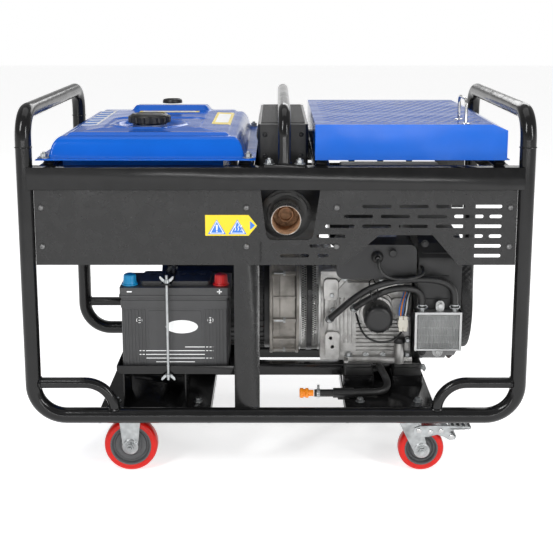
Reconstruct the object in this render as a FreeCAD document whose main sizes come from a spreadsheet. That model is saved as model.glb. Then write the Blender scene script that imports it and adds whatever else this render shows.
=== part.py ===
"""Engine driven welder: an open tube frame on casters that carries a V-twin engine, a welding
alternator, a starting battery, a fuel tank and a control panel.

Millimetres. +X is the engine end, -Y is the exhaust side, +Z is up. The origin is on the
ground, under the middle of the frame.
"""
import FreeCAD, Part
import math
import os
import re
import Sketcher
from FreeCAD import Placement, Rotation, Vector

document = FreeCAD.newDocument("EngineDrivenWelder")

# ---------------------------------------------------------------- driving dimensions
SIZES = {
    # tube frame
    "tube_radius": 16, "tube_wall": 2.5, "post_x": 495, "post_y": 300,
    "low_tube_z": 135, "low_bend": 66, "weld_z": 690, "hoop_z": 757, "hoop_bend": 52,
    "brace_radius": 11, "brace_z": 205, "brace_foot_x": 330, "brace_bend": 60,
    "rail_low": 607, "rail_high": 652, "rail_deep": 30, "rail_wall": 2,
    "cross_high": 25, "cross_wide": 30,
    "mid_post_x": -58.5, "mid_post_wide": 51, "mid_post_deep": 30,
    "lift_x": 17, "lift_radius": 12.5, "lift_z": 759.5, "lift_bend": 50,
    "foot_plate_long": 80, "foot_plate_thick": 5,
    # base
    "base_top": 140, "base_thick": 5, "base_skirt": 18,
    "left_base_x": -250, "left_base_wide": 229, "right_base_x": 239, "right_base_wide": 187,
    "base_rail_y": 60, "base_rail_wide": 30, "base_rail_high": 26,
    # sheet panels
    "panel_face": 302, "panel_thick": 2, "panel_low": 453, "panel_high": 605, "panel_half": 478,
    "notch_left": -30, "notch_right": 88, "notch_low_left": -18, "notch_low_right": 73,
    "notch_low": 504, "arch_left": 136, "arch_in_left": 206, "arch_in_right": 312,
    "arch_right": 365, "arch_high": 514,
    "slot_long": 58, "slot_wide": 7, "slot_pitch": 73, "slot_row": 20, "slot_top": 572,
    # fuel tank
    "tank_left": -476, "tank_right": -40, "tank_half_y": 290, "tank_flange_z": 662,
    "tank_flange_thick": 3, "tank_high": 716, "tank_step": 24, "tank_lean": 14, "tank_round": 13,
    "tank_low": 598, "tank_sheet": 2,
    "cap_x": -270, "cap_y": -100, "cap_radius": 47, "cap_high": 20, "neck_radius": 34,
    "gauge_x": -250, "gauge_y": 205, "gauge_radius": 24, "gauge_high": 10,
    # engine cover
    "cover_left": 78, "cover_right": 458, "cover_front": -285, "cover_back": 247,
    "cover_low": 662, "cover_high": 733, "cover_sheet": 2, "cover_flange": 12,
    "cover_chamfer_x": 28, "cover_chamfer_z": 12,
    "hole_long": 14, "hole_wide": 6, "hole_pitch_x": 21, "hole_pitch_y": 24,
    "handle_x": 376, "handle_front": -272, "handle_back": -190, "handle_radius": 3,
    "handle_top": 785,
    # exhaust
    "outlet_x": 20.5, "outlet_z": 546, "outlet_radius": 30, "outlet_wall": 2, "outlet_face": -312,
    "muffler_y": -170, "muffler_left": -100, "muffler_long": 190, "muffler_z": 546, "muffler_radius": 88,
    "guard_left": -36, "guard_right": 66, "guard_low": 636, "guard_high": 728,
    # battery
    "battery_x": -207, "battery_long": 228, "battery_front": -270, "battery_wide": 127,
    "battery_low": 218, "battery_case_high": 158, "battery_lid_high": 21,
    "pole_inset": 20, "pole_cap_radius": 14, "pole_cap_high": 24,
    "tray_sheet": 3, "tray_gap": 4, "tray_lip": 15,
    "rod_radius": 3, "rod_gap": 9, "strap_wide": 22, "strap_thick": 4,
    # alternator and engine, about one shaft line
    "shaft_z": 312, "shaft_radius": 20, "bell_left": -14, "bell_right": 51, "bell_radius": 137,
    "mesh_right": 98, "mesh_radius": 128, "mesh_sheet": 1.5,
    "housing_left": -250, "housing_radius": 125, "housing_wall": 7,
    "stator_left": -205, "stator_right": -45, "stator_bore": 80, "rotor_radius": 78.5,
    "case_right": 297, "case_half_y": 118, "case_low": 191, "case_high": 392,
    "blower_left": 302, "blower_right": 403, "blower_half_y": 185, "blower_low": 192,
    "blower_high": 482, "blower_sheet": 3,
    "fan_radius": 112, "screen_left": 407, "screen_right": 431, "screen_radius": 122,
    "mount_front": -142, "mount_deep": 60, "mount_left_x": 182, "mount_right_x": 289,
    "mount_wide": 64, "mount_cup": 21, "filter_x": 219, "filter_z": 306, "filter_radius": 31,
    "filter_face": -200, "cooler_left": 293, "cooler_right": 392, "cooler_low": 244,
    "cooler_high": 328, "cooler_face": -215, "cooler_deep": 30,
    "hose_radius": 7, "drain_radius": 8,
    # casters
    "left_caster_x": -304, "right_caster_x": 275, "caster_y": 256, "left_wheel_radius": 56,
    "right_wheel_radius": 48, "caster_trail": 30, "tyre_wide": 32, "tyre_thick": 13,
    "axle_radius": 6, "axle_clearance": 0.05, "fork_sheet": 4, "fork_gap": 1.5, "fork_wide": 48,
    "plate_thick": 4, "brake_pin_x": 23, "brake_pin_z": 93, "brake_pin_radius": 4, "brake_pin_half": 25.5,
    # control panel
    "console_left": -470, "console_right": -95, "console_low": 342, "console_high": 592,
    "console_deep": 110, "console_face": 280, "dial_radius": 22, "dial_high": 16,
    "rocker_x": -235, "rocker_z": 540, "rocker_pin_radius": 3,
}

sheet = document.addObject("Spreadsheet::Sheet", "Sizes")
for row, (word, value) in enumerate(SIZES.items(), start=1):
    sheet.set(f"A{row}", word)
    sheet.set(f"B{row}", str(value))
    sheet.setAlias(f"B{row}", word)
document.recompute()

UP = Rotation()
ALONG = {
    "+Z": Rotation(),
    "-Z": Rotation(Vector(1, 0, 0), 180),
    "+X": Rotation(Vector(0, 1, 0), 90),
    "-X": Rotation(Vector(0, 1, 0), -90),
    "+Y": Rotation(Vector(1, 0, 0), -90),
    "-Y": Rotation(Vector(1, 0, 0), 90),
}
nodes = []


# ---------------------------------------------------------------- small tools
def formula(text):
    """Point every size name in an expression at its cell of the sheet."""
    return re.sub(r"[a-z][a-z_]*", lambda m: "Sizes." + m[0] if m[0] in SIZES else m[0], str(text))


def bind(item, **values):
    """Bind properties of an object to expressions in the sheet's sizes."""
    for prop, value in values.items():
        item.setExpression(prop, formula(value))
    return item


def place(item, at, turn=UP):
    """Put an object at a point whose coordinates are expressions."""
    item.Placement = Placement(Vector(), turn)
    for axis, value in zip("xyz", at):
        item.setExpression(".Placement.Base." + axis, formula(value))
    return item


def box(name, low, size):
    """A block from its lowest corner and its sizes."""
    item = document.addObject("Part::Box", name)
    bind(item, Length=size[0], Width=size[1], Height=size[2])
    return place(item, low)


def middle_box(name, middle, size):
    """A block from its middle point and its sizes."""
    low = [f"{centre} - ({length}) / 2" for centre, length in zip(middle, size)]
    return box(name, low, size)


def cylinder(name, start, along, radius, length):
    """A round bar from the middle of its first end."""
    item = document.addObject("Part::Cylinder", name)
    bind(item, Radius=radius, Height=length)
    return place(item, start, ALONG[along])


def cone(name, start, along, radius, end_radius, length):
    item = document.addObject("Part::Cone", name)
    bind(item, Radius1=radius, Radius2=end_radius, Height=length)
    return place(item, start, ALONG[along])


def ring_shape(name, start, along, radius, wall, length):
    """A round sleeve with a bore right through."""
    outside = cylinder(name + "_outside", start, along, radius, length)
    bore = cylinder(name + "_bore", start, along, f"{radius} - ({wall})", length)
    return cut(name, outside, [bore])


def fuse(name, items):
    item = document.addObject("Part::MultiFuse", name)
    item.Shapes = items
    return item


def group(name, items):
    """Separate solids that belong to one node."""
    item = document.addObject("Part::Compound", name)
    item.Links = items
    return item


def cut(name, base, tools):
    item = document.addObject("Part::Cut", name)
    item.Base = base
    item.Tool = tools[0] if len(tools) == 1 else group(name + "_tools", tools)
    return item


def node(item, label):
    """Hand an object in as a sub-part."""
    item.Label = label
    nodes.append(item)
    return item


def rounded_path(points, bend):
    """A wire of straight runs joined by tangent arcs; bend is one radius or one per corner."""
    points = [Vector(*point) for point in points]
    bends = bend if isinstance(bend, (list, tuple)) else [bend] * (len(points) - 2)
    edges = []
    start = points[0]
    for corner, following, radius in zip(points[1:-1], points[2:], bends):
        back = (start - corner).normalize()
        ahead = (following - corner).normalize()
        half = back.getAngle(ahead) / 2
        reach = radius / math.tan(half)
        first = corner + back * reach
        last = corner + ahead * reach
        centre = corner + (back + ahead).normalize() * (radius / math.sin(half))
        middle = centre + (corner - centre).normalize() * radius
        edges.append(Part.LineSegment(start, first).toShape())
        edges.append(Part.Arc(first, middle, last).toShape())
        start = last
    edges.append(Part.LineSegment(start, points[-1]).toShape())
    return Part.Wire(edges)


def bar(name, points, bend, radius):
    """A solid round bar swept along a bent path."""
    path = document.addObject("Part::Feature", name + "_path")
    path.Shape = rounded_path(points, bend)
    section = document.addObject("Part::Circle", name + "_section")
    bind(section, Radius=radius)
    first = Vector(*points[1]) - Vector(*points[0])
    section.Placement = Placement(Vector(*points[0]), Rotation(Vector(0, 0, 1), first))
    item = document.addObject("Part::Sweep", name)
    item.Sections = [section]
    item.Spine = (path, [f"Edge{i + 1}" for i in range(len(path.Shape.Edges))])
    item.Solid = True
    item.Frenet = True
    return item


def bent_tube(name, points, bend, radius, wall):
    """A hollow tube swept along a bent path."""
    outside = bar(name + "_outside", points, bend, radius)
    inside = bar(name + "_inside", points, bend, f"{radius} - {wall}")
    return cut(name, outside, [inside])


def sketch_on(body, plane, name):
    """A sketch on one of a body's own origin planes."""
    sketch = body.newObject("Sketcher::SketchObject", name)
    support = [item for item in body.Origin.OriginFeatures if item.Role == plane][0]
    sketch.AttachmentSupport = [(support, "")]
    sketch.MapMode = "FlatFace"
    return sketch


def outline(sketch, corners):
    """A closed outline whose corner coordinates are bound to the sheet."""
    first = sketch.GeometryCount
    count = len(corners)
    values = []
    for across, upward in corners:
        values.append(Vector(sheet_value(across), sheet_value(upward), 0))
    for index in range(count):
        sketch.addGeometry(Part.LineSegment(values[index], values[(index + 1) % count]))
    for index in range(count):
        following = (index + 1) % count
        sketch.addConstraint(Sketcher.Constraint("Coincident", first + index, 2, first + following, 1))
    for index, (across, upward) in enumerate(corners):
        for kind, text, value in (("DistanceX", across, values[index].x),
                                  ("DistanceY", upward, values[index].y)):
            number = sketch.addConstraint(Sketcher.Constraint(kind, -1, 1, first + index, 1, value))
            sketch.setExpression(f"Constraints[{number}]", formula(text))


def sheet_value(text):
    """The number that an expression in the sheet's sizes comes to."""
    return float(sheet.evalExpression(formula(text)))


def pad(name, plane, corners, thickness, at=("0", "0", "0")):
    """A plate: an outline on an origin plane, made equally thick to both sides of it."""
    body = document.addObject("PartDesign::Body", name)
    sketch = sketch_on(body, plane, name + "_outline")
    outline(sketch, corners)
    feature = body.newObject("PartDesign::Pad", name + "_pad")
    feature.Profile = sketch
    feature.Midplane = True
    bind(feature, Length=thickness)
    place(body, at)
    return body


def revolved(name, corners, at, along="+Z"):
    """A turned piece: half a section in the XZ plane, turned about Z."""
    body = document.addObject("PartDesign::Body", name)
    sketch = sketch_on(body, "XZ_Plane", name + "_section")
    outline(sketch, corners)
    feature = body.newObject("PartDesign::Revolution", name + "_turned")
    feature.Profile = sketch
    feature.ReferenceAxis = (sketch, ["V_Axis"])
    feature.Angle = 360
    place(body, at, ALONG[along])
    return body


def rounded(body, name, radius, chosen):
    """Round the edges of a body's tip that the test picks."""
    document.recompute()
    tip = body.Tip
    picked = [f"Edge{i + 1}" for i, edge in enumerate(tip.Shape.Edges) if chosen(edge)]
    feature = body.newObject("PartDesign::Fillet", name)
    feature.Base = (tip, picked)
    bind(feature, Radius=radius)
    body.Tip = feature
    return body


def runs_along(edge, axis):
    """Is the edge a straight line parallel to an axis?"""
    if edge.Curve.TypeId != "Part::GeomLine":
        return False
    return abs(edge.tangentAt(edge.FirstParameter).dot(Vector(*axis))) > 0.999


def slots(body, plane, name, centres, length, width):
    """Cut round-ended slots through a plate, given their centres and lengths on the plane."""
    sketch = sketch_on(body, plane, name + "_outlines")
    radius = width / 2
    for (across, upward), long in zip(centres, length):
        half = long / 2 - radius
        left = Vector(across - half, upward, 0)
        right = Vector(across + half, upward, 0)
        rise = Vector(0, radius, 0)
        sketch.addGeometry(Part.LineSegment(left + rise, right + rise))
        sketch.addGeometry(Part.Arc(right + rise, right + Vector(radius, 0, 0), right - rise))
        sketch.addGeometry(Part.LineSegment(right - rise, left - rise))
        sketch.addGeometry(Part.Arc(left - rise, left - Vector(radius, 0, 0), left + rise))
    feature = body.newObject("PartDesign::Pocket", name)
    feature.Profile = sketch
    feature.Type = "ThroughAll"
    feature.Midplane = True
    return body


# ---------------------------------------------------------------- frame
def frame_tubes():
    """Two upright loops, front and rear, joined over the top by two hoops."""
    tubes = []
    for side, y in (("front", -sheet.post_y), ("rear", sheet.post_y)):
        loop = [(-sheet.post_x, y, sheet.weld_z), (-sheet.post_x, y, sheet.low_tube_z),
                (sheet.post_x, y, sheet.low_tube_z), (sheet.post_x, y, sheet.weld_z)]
        tubes.append(bent_tube(side + "_loop", loop, sheet.low_bend, "tube_radius", "tube_wall"))
    for side, x in (("left", -sheet.post_x), ("right", sheet.post_x)):
        hoop = [(x, -sheet.post_y, sheet.weld_z), (x, -sheet.post_y, sheet.hoop_z),
                (x, sheet.post_y, sheet.hoop_z), (x, sheet.post_y, sheet.weld_z)]
        tubes.append(bent_tube(side + "_hoop", hoop, sheet.hoop_bend, "tube_radius", "tube_wall"))
    return node(group("frame_tube_set", tubes), "frame_tubes")


def corner_braces():
    """A quarter-bent tube across each lower corner of both loops."""
    braces = []
    for side, y in (("front", -sheet.post_y), ("rear", sheet.post_y)):
        loop = document.getObject(side + "_loop_outside")
        for end, way in (("left", -1), ("right", 1)):
            name = f"{side}_{end}_brace"
            path = [(way * sheet.post_x, y, sheet.brace_z),
                    (way * sheet.brace_foot_x, y, sheet.brace_z),
                    (way * sheet.brace_foot_x, y, sheet.low_tube_z)]
            tube = bent_tube(name + "_tube", path, sheet.brace_bend, "brace_radius", "2")
            braces.append(cut(name, tube, [loop]))
    return node(group("brace_set", braces), "corner_braces")


def top_frame():
    """Box-section rails between the posts, and the crossmembers that carry tank and cover."""
    members = []
    for side, way in (("front", "-"), ("rear", "")):
        rail = middle_box(side + "_rail_block", ("0", way + "post_y", "(rail_low + rail_high) / 2"),
                          ("2 * post_x", "rail_deep", "rail_high - rail_low"))
        inside = middle_box(side + "_rail_inside", ("0", way + "post_y", "(rail_low + rail_high) / 2"),
                            ("2 * post_x", "rail_deep - 2 * rail_wall",
                             "rail_high - rail_low - 2 * rail_wall"))
        loop = document.getObject(side + "_loop_outside")
        members.append(cut(side + "_rail", rail, [inside, loop]))
    for name, x in (("tank_left", "-454"), ("tank_right", "mid_post_x - 2"),
                    ("cover_left", "cover_left + cross_wide / 2"), ("cover_right", "448")):
        length = "2 * post_y - rail_deep"
        block = middle_box(name + "_cross_block", (x, "0", "rail_high - cross_high / 2"),
                           ("cross_wide", length, "cross_high"))
        inside = middle_box(name + "_cross_inside", (x, "0", "rail_high - cross_high / 2"),
                            ("cross_wide - 2 * rail_wall", length, "cross_high - 2 * rail_wall"))
        members.append(cut(name + "_cross", block, [inside]))
    return node(group("top_member_set", members), "top_frame")


def mid_posts():
    """A channel post between base tube and rail, at the front and at the rear."""
    posts = []
    for side, way, lip in (("front", "-", "+"), ("rear", "", "-")):
        loop = document.getObject(side + "_loop_outside")
        middle = ("mid_post_x", f"{way}(post_y - mid_post_deep / 2)", "(rail_low + low_tube_z) / 2")
        block = middle_box(side + "_post_block", middle,
                           ("mid_post_wide", "mid_post_deep", "rail_low - low_tube_z"))
        hollow = middle_box(side + "_post_hollow",
                            ("mid_post_x", f"{way}(post_y - mid_post_deep / 2) {lip} rail_wall",
                             "(rail_low + low_tube_z) / 2"),
                            ("mid_post_wide - 2 * rail_wall", "mid_post_deep",
                             "rail_low - low_tube_z"))
        posts.append(cut(side + "_post", block, [hollow, loop]))
    return node(group("post_set", posts), "mid_posts")


def lifting_bar():
    """The hoop over the middle of the machine, on a plate at each rail."""
    height = sheet.rail_high + sheet.foot_plate_thick
    path = [(sheet.lift_x, -sheet.post_y, height), (sheet.lift_x, -sheet.post_y, sheet.lift_z),
            (sheet.lift_x, sheet.post_y, sheet.lift_z), (sheet.lift_x, sheet.post_y, height)]
    pieces = [bent_tube("lifting_hoop", path, sheet.lift_bend, "lift_radius", "tube_wall")]
    for side, way in (("front", "-"), ("rear", "")):
        pieces.append(middle_box(side + "_lift_plate",
                                 ("lift_x", way + "post_y", "rail_high + foot_plate_thick / 2"),
                                 ("foot_plate_long", "rail_deep", "foot_plate_thick")))
    return node(fuse("lifting_bar_welded", pieces), "lifting_bar")


def base_members():
    """Two wide channels between the loops, and two box rails on top of them."""
    members = []
    for side in ("left", "right"):
        length = "2 * post_y"
        block = middle_box(side + "_base_block",
                           (side + "_base_x", "0", "base_top - (base_thick + base_skirt) / 2"),
                           (side + "_base_wide", length, "base_thick + base_skirt"))
        under = middle_box(side + "_base_under",
                           (side + "_base_x", "0", "base_top - base_thick - base_skirt / 2"),
                           (side + "_base_wide - 2 * base_thick", length, "base_skirt"))
        loops = [document.getObject(end + "_loop_outside") for end in ("front", "rear")]
        trim = []
        for end, way in (("front", "-"), ("rear", "")):
            trim.append(middle_box(f"{side}_{end}_base_trim",
                                   (side + "_base_x", f"{way}(post_y + 8)", "base_top"),
                                   (side + "_base_wide + 2", "16", "60")))
        members.append(cut(side + "_base", block, [under] + loops + trim))
    for side, way in (("front", "-"), ("rear", "")):
        middle = ("(left_base_x + right_base_x) / 2", way + "base_rail_y",
                  "base_top + base_rail_high / 2")
        length = "right_base_x - left_base_x + (left_base_wide + right_base_wide) / 2 - 60"
        block = middle_box(side + "_base_rail_block", middle,
                           (length, "base_rail_wide", "base_rail_high"))
        inside = middle_box(side + "_base_rail_inside", middle,
                            (length, "base_rail_wide - 2 * rail_wall",
                             "base_rail_high - 2 * rail_wall"))
        members.append(cut(side + "_base_rail", block, [inside]))
    return node(group("base_set", members), "base_members")


def slot_rows():
    """Centres and lengths of the cooling slots beside the exhaust notch, in staggered rows."""
    pitch = sheet.slot_pitch
    right = 419.5
    rows = [
        (right, (0, 1, 2, 3)), (right - pitch / 2, (0, 1, 2, 3)), (right, (0, 1, 2, 3, 4)),
        (right - pitch / 2, (0,)), (right, (0,)), (right, (0,)),
    ]
    centres = []
    lengths = []
    for row, (start, steps) in enumerate(rows):
        height = sheet.slot_top - row * sheet.slot_row
        for step in steps:
            centres.append((start - step * pitch, height))
            lengths.append(sheet.slot_long)
        if row in (1, 3):
            centres.append((start + 0.73 * pitch, height))
            lengths.append(0.43 * sheet.slot_long)
    left = [(3, 110, 1.0), (4, 96, 1.0), (5, 94, 0.38), (5, 37.5, 1.0)]
    for row, across, share in left:
        centres.append((across, sheet.slot_top - row * sheet.slot_row))
        lengths.append(share * sheet.slot_long)
    return centres, lengths


def front_panel():
    """Sheet shroud with a notch for the exhaust outlet, an arch and staggered slots."""
    corners = [
        ("-panel_half", "panel_low"), ("arch_left", "panel_low"), ("arch_in_left", "arch_high"),
        ("arch_in_right", "arch_high"), ("arch_right", "panel_low"), ("panel_half", "panel_low"),
        ("panel_half", "panel_high"), ("notch_right", "panel_high"),
        ("notch_low_right", "notch_low"), ("notch_low_left", "notch_low"),
        ("notch_left", "panel_high"), ("-panel_half", "panel_high"),
    ]
    body = pad("front_sheet", "XZ_Plane", corners, "panel_thick",
               ("0", "-panel_face + panel_thick / 2", "0"))
    low = sheet.notch_low
    rounded(body, "notch_corners", "14",
            lambda edge: runs_along(edge, (0, 1, 0)) and abs(edge.CenterOfMass.z - low) < 1)
    centres, lengths = slot_rows()
    slots(body, "XZ_Plane", "cooling_slots", centres, lengths, sheet.slot_wide)
    return node(body, "front_panel")


def rear_panel():
    """Sheet shroud behind the engine, with rows of cooling slots."""
    corners = [("0", "panel_low"), ("panel_half", "panel_low"), ("panel_half", "panel_high"),
               ("0", "panel_high")]
    body = pad("rear_sheet", "XZ_Plane", corners, "panel_thick",
               ("0", "panel_face - panel_thick / 2", "0"))
    centres = []
    for row in range(6):
        shift = sheet.slot_pitch / 2 * (row % 2)
        for step in range(5):
            centres.append((82 + shift + step * sheet.slot_pitch, sheet.slot_top - row * sheet.slot_row))
    slots(body, "XZ_Plane", "rear_slots", centres, [sheet.slot_long] * len(centres), sheet.slot_wide)
    return node(body, "rear_panel")


def frame_bolts():
    """Dome bolts on the panels, and the bolts of the lifting bar, tank and cover."""
    bolts = []
    for x in ("-465", "mid_post_x", "121", "465"):
        for z in ("570", "491"):
            bolts.append(dome_bolt((x, "-panel_face", z), "-Y", "7", "5"))
    for x in ("30", "240", "465"):
        for z in ("590", "466"):
            bolts.append(dome_bolt((x, "panel_face", z), "+Y", "7", "5"))
    for x in ("lift_x - 30", "lift_x + 30"):
        for y in ("-post_y", "post_y"):
            bolts.append(dome_bolt((x, y, "rail_high + foot_plate_thick"), "+Z", "7", "6"))
    for x in ("-461", "-55"):
        for y in ("-272", "272"):
            bolts.append(dome_bolt((x, y, "tank_flange_z + tank_flange_thick"), "+Z", "7", "5"))
    return node(group("bolt_set", bolts), "frame_bolts")


def dome_bolt(at, along, radius, height):
    """A low cone head with a flat top."""
    name = f"bolt_{len(document.Objects)}"
    return cone(name, at, along, radius, f"{radius} * 0.55", height)


def rubber_washers():
    """Rubber spacers between the top frame and the tank or cover."""
    gap = "tank_flange_z - rail_high"
    places = [(x, y) for x in ("-454", "-61") for y in ("-262", "262")]
    places += [(x, y) for x in ("cover_left + cross_wide / 2", "448") for y in ("-262", "225")]
    washers = []
    for number, (x, y) in enumerate(places):
        washers.append(cylinder(f"washer_{number}", (x, y, "rail_high"), "+Z", "12", gap))
    return node(group("washer_set", washers), "rubber_washers")


# ---------------------------------------------------------------- fuel tank
def domed_block(name, low, high, inset, radius):
    """A pressed dome above the tank's flange: four leaning sides and rounded edges."""
    wedge = document.addObject("Part::Wedge", name + "_wedge")
    bind(wedge, Xmin=f"tank_left + tank_step + {inset}", Xmax=f"tank_right - tank_step - {inset}",
         X2min=f"tank_left + tank_step + tank_lean + {inset}",
         X2max=f"tank_right - tank_step - tank_lean - {inset}",
         Ymin=low, Ymax=high,
         Zmin=f"-tank_half_y + tank_step + {inset}", Zmax=f"tank_half_y - tank_step - {inset}",
         Z2min=f"-tank_half_y + tank_step + tank_lean + {inset}",
         Z2max=f"tank_half_y - tank_step - tank_lean - {inset}")
    wedge.Placement = Placement(Vector(), Rotation(Vector(1, 0, 0), 90))
    document.recompute()
    floor = sheet_value(low) + 0.5
    item = document.addObject("Part::Fillet", name)
    item.Base = wedge
    item.Edges = [(index, radius, radius) for index, edge in enumerate(wedge.Shape.Edges, start=1)
                  if edge.BoundBox.ZMax > floor]
    return item


def fuel_tank():
    """Two pressed halves welded at a flange, with a filler neck in a recess."""
    flange = "(tank_flange_z + tank_flange_thick / 2)"
    top_plate = box("tank_top_flange", ("tank_left", "-tank_half_y", flange),
                    ("tank_right - tank_left", "2 * tank_half_y", "tank_flange_thick / 2"))
    dome = domed_block("tank_dome", flange, "tank_high", "0", sheet.tank_round)
    hollow = domed_block("tank_dome_hollow", f"{flange} - 2", "tank_high - tank_sheet", "tank_sheet",
                         sheet.tank_round - sheet.tank_sheet)
    hump = middle_box("tank_hump", ("gauge_x", "gauge_y", "tank_high + 6"), ("190", "90", "16"))
    below = box("tank_trim", ("tank_left", "-tank_half_y", f"{flange} - 20"),
                ("tank_right - tank_left", "2 * tank_half_y", "20"))
    shell = cut("tank_top_shell", fuse("tank_top_solid", [top_plate, dome, hump]), [hollow, below])
    recess = cylinder("cap_recess", ("cap_x", "cap_y", "tank_high - 8"), "+Z", "cap_radius + 18", "12")
    recess_floor = cylinder("cap_recess_floor", ("cap_x", "cap_y", "tank_high - 8 - tank_sheet"), "+Z",
                            "cap_radius + 18 + tank_sheet", "tank_sheet + 8")
    neck = cylinder("filler_neck", ("cap_x", "cap_y", "tank_high - 10"), "+Z", "neck_radius", "10")
    bore = cylinder("filler_bore", ("cap_x", "cap_y", "tank_high - 30"), "+Z", "neck_radius - 2", "40")
    with_floor = fuse("tank_with_floor", [shell, recess_floor])
    recessed = cut("tank_recessed", with_floor, [recess])
    necked = fuse("tank_necked", [recessed, neck])
    node(cut("tank_top_half", necked, [bore]), "fuel_tank_top")

    low_plate = box("tank_low_flange", ("tank_left", "-tank_half_y", "tank_flange_z"),
                    ("tank_right - tank_left", "2 * tank_half_y", "tank_flange_thick / 2"))
    pan = box("tank_pan", ("tank_left + 46", "-tank_half_y + 46", "tank_low"),
              ("tank_right - tank_left - 92 - 20", "2 * tank_half_y - 92", "tank_flange_z - tank_low"))
    pan_hollow = box("tank_pan_hollow",
                     ("tank_left + 48", "-tank_half_y + 48", "tank_low + tank_sheet"),
                     ("tank_right - tank_left - 96 - 20", "2 * tank_half_y - 96", "120"))
    tap = cylinder("fuel_tap_body", ("-130", "-214", "tank_low - 30"), "+Z", "9", "30")
    half = cut("tank_low_half", fuse("tank_low_solid", [low_plate, pan]), [pan_hollow])
    node(group("tank_bottom_set", [half, tap]), "fuel_tank_bottom")


def fuel_cap():
    """A fluted cap on the filler neck."""
    base = revolved("cap_turned", [("0", "0"), ("cap_radius - 5", "0"), ("cap_radius", "4"),
                                   ("cap_radius", "cap_high - 5"), ("cap_radius - 7", "cap_high"),
                                   ("0", "cap_high")],
                    ("cap_x", "cap_y", "tank_high + 0.5"))
    flutes = []
    for number in range(16):
        angle = number * math.tau / 16
        reach = sheet.cap_radius + 3
        flutes.append(cylinder(f"cap_flute_{number}",
                               (f"cap_x + {reach * math.cos(angle):.3f}",
                                f"cap_y + {reach * math.sin(angle):.3f}", "tank_high"),
                               "+Z", "5", "cap_high + 2"))
    return node(cut("cap_fluted", base, flutes), "fuel_cap")


def fuel_gauge():
    """A round float gauge on the rear hump."""
    return node(cone("gauge_body", ("gauge_x", "gauge_y", "tank_high + 14"), "+Z", "gauge_radius",
                     "gauge_radius - 3", "gauge_high"), "fuel_gauge")


def fuel_tap_lever():
    """The shut-off lever under the tank."""
    hub = cylinder("tap_hub", ("-130", "-223.3", "tank_low - 18"), "-Y", "7", "6")
    arm = box("tap_arm", ("-134", "-229.3", "tank_low - 46"), ("8", "6", "28"))
    return node(fuse("tap_lever", [hub, arm]), "fuel_tap_lever")


# ---------------------------------------------------------------- engine cover
def engine_cover():
    """A folded sheet cover with a chamfered end and a staggered pattern of oblong holes."""
    corners = [("cover_left", "cover_low"), ("cover_right", "cover_low"),
               ("cover_right", "cover_high - cover_chamfer_z"),
               ("cover_right - cover_chamfer_x", "cover_high"), ("cover_left", "cover_high")]
    inner = [("cover_left + cover_sheet", "cover_low - 1"),
             ("cover_right - cover_sheet", "cover_low - 1"),
             ("cover_right - cover_sheet", "cover_high - cover_chamfer_z - cover_sheet"),
             ("cover_right - cover_chamfer_x - 1", "cover_high - cover_sheet"),
             ("cover_left + cover_sheet", "cover_high - cover_sheet")]
    length = "cover_back - cover_front"
    middle = ("0", "(cover_back + cover_front) / 2", "0")
    outside = pad("cover_block", "XZ_Plane", corners, length, middle)
    inside = pad("cover_hollow", "XZ_Plane", inner, length + " - 2 * cover_sheet", middle)
    flange = box("cover_flange_plate",
                 ("cover_left", "cover_front", "cover_low"),
                 ("cover_right - cover_left + 5", length, "cover_sheet"))
    flange_hole = middle_box("cover_flange_hole",
                             ("(cover_left + cover_right) / 2", "(cover_back + cover_front) / 2",
                              "cover_low"),
                             ("cover_right - cover_left - 2 * cover_flange - 44",
                              length + " - 2 * cover_flange - 60", "10"))
    shell = cut("cover_shell", outside, [inside])
    rim = cut("cover_rim", flange, [flange_hole])
    holes = document.addObject("PartDesign::Body", "cover_holes")
    sketch = sketch_on(holes, "XY_Plane", "cover_hole_outlines")
    radius = sheet.hole_wide / 2
    half = sheet.hole_long / 2 - radius
    columns = int((sheet.cover_right - sheet.cover_left - 60) / sheet.hole_pitch_x)
    lines = int((sheet.cover_back - sheet.cover_front - 50) / sheet.hole_pitch_y)
    for line in range(lines):
        for column in range(columns):
            x = sheet.cover_left + 26 + (column + 0.5 * (line % 2)) * sheet.hole_pitch_x
            y = sheet.cover_front + 30 + line * sheet.hole_pitch_y
            left = Vector(x - half, y, 0)
            right = Vector(x + half, y, 0)
            rise = Vector(0, radius, 0)
            sketch.addGeometry(Part.LineSegment(left + rise, right + rise))
            sketch.addGeometry(Part.Arc(right + rise, right + Vector(radius, 0, 0), right - rise))
            sketch.addGeometry(Part.LineSegment(right - rise, left - rise))
            sketch.addGeometry(Part.Arc(left - rise, left - Vector(radius, 0, 0), left + rise))
    feature = holes.newObject("PartDesign::Pad", "cover_hole_pegs")
    feature.Profile = sketch
    bind(feature, Length="12")
    place(holes, ("0", "0", "cover_high - 6"))
    return node(cut("cover_perforated", fuse("cover_with_rim", [shell, rim]), [holes]), "engine_cover")


def cover_handle():
    """A bent wire pull standing on the cover."""
    x = sheet.handle_x
    high = sheet.handle_top - sheet.handle_radius
    path = [(x, sheet.handle_front, sheet.cover_high), (x, sheet.handle_front, high),
            (x, sheet.handle_back, high), (x, sheet.handle_back, sheet.cover_high)]
    return node(bar("handle_wire", path, 14, "handle_radius"), "cover_handle")


# ---------------------------------------------------------------- exhaust
def muffler():
    """A round silencer can lying along the machine, behind the front panel."""
    can = cylinder("muffler_can", ("muffler_left", "muffler_y", "muffler_z"), "+X",
                   "muffler_radius * 0.8", "muffler_long")
    face = cylinder("muffler_face", ("outlet_x", "muffler_y - 70", "muffler_z"), "-Y", "52", "12")
    core = cylinder("muffler_join", ("outlet_x", "muffler_y", "muffler_z"), "-Y", "50", "72")
    socket = cylinder("muffler_socket", ("outlet_x", "muffler_y", "outlet_z"), "-Y",
                      "outlet_radius", "140")
    return node(cut("muffler_welded", fuse("muffler_solid", [can, face, core]), [socket]), "muffler")


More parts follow.
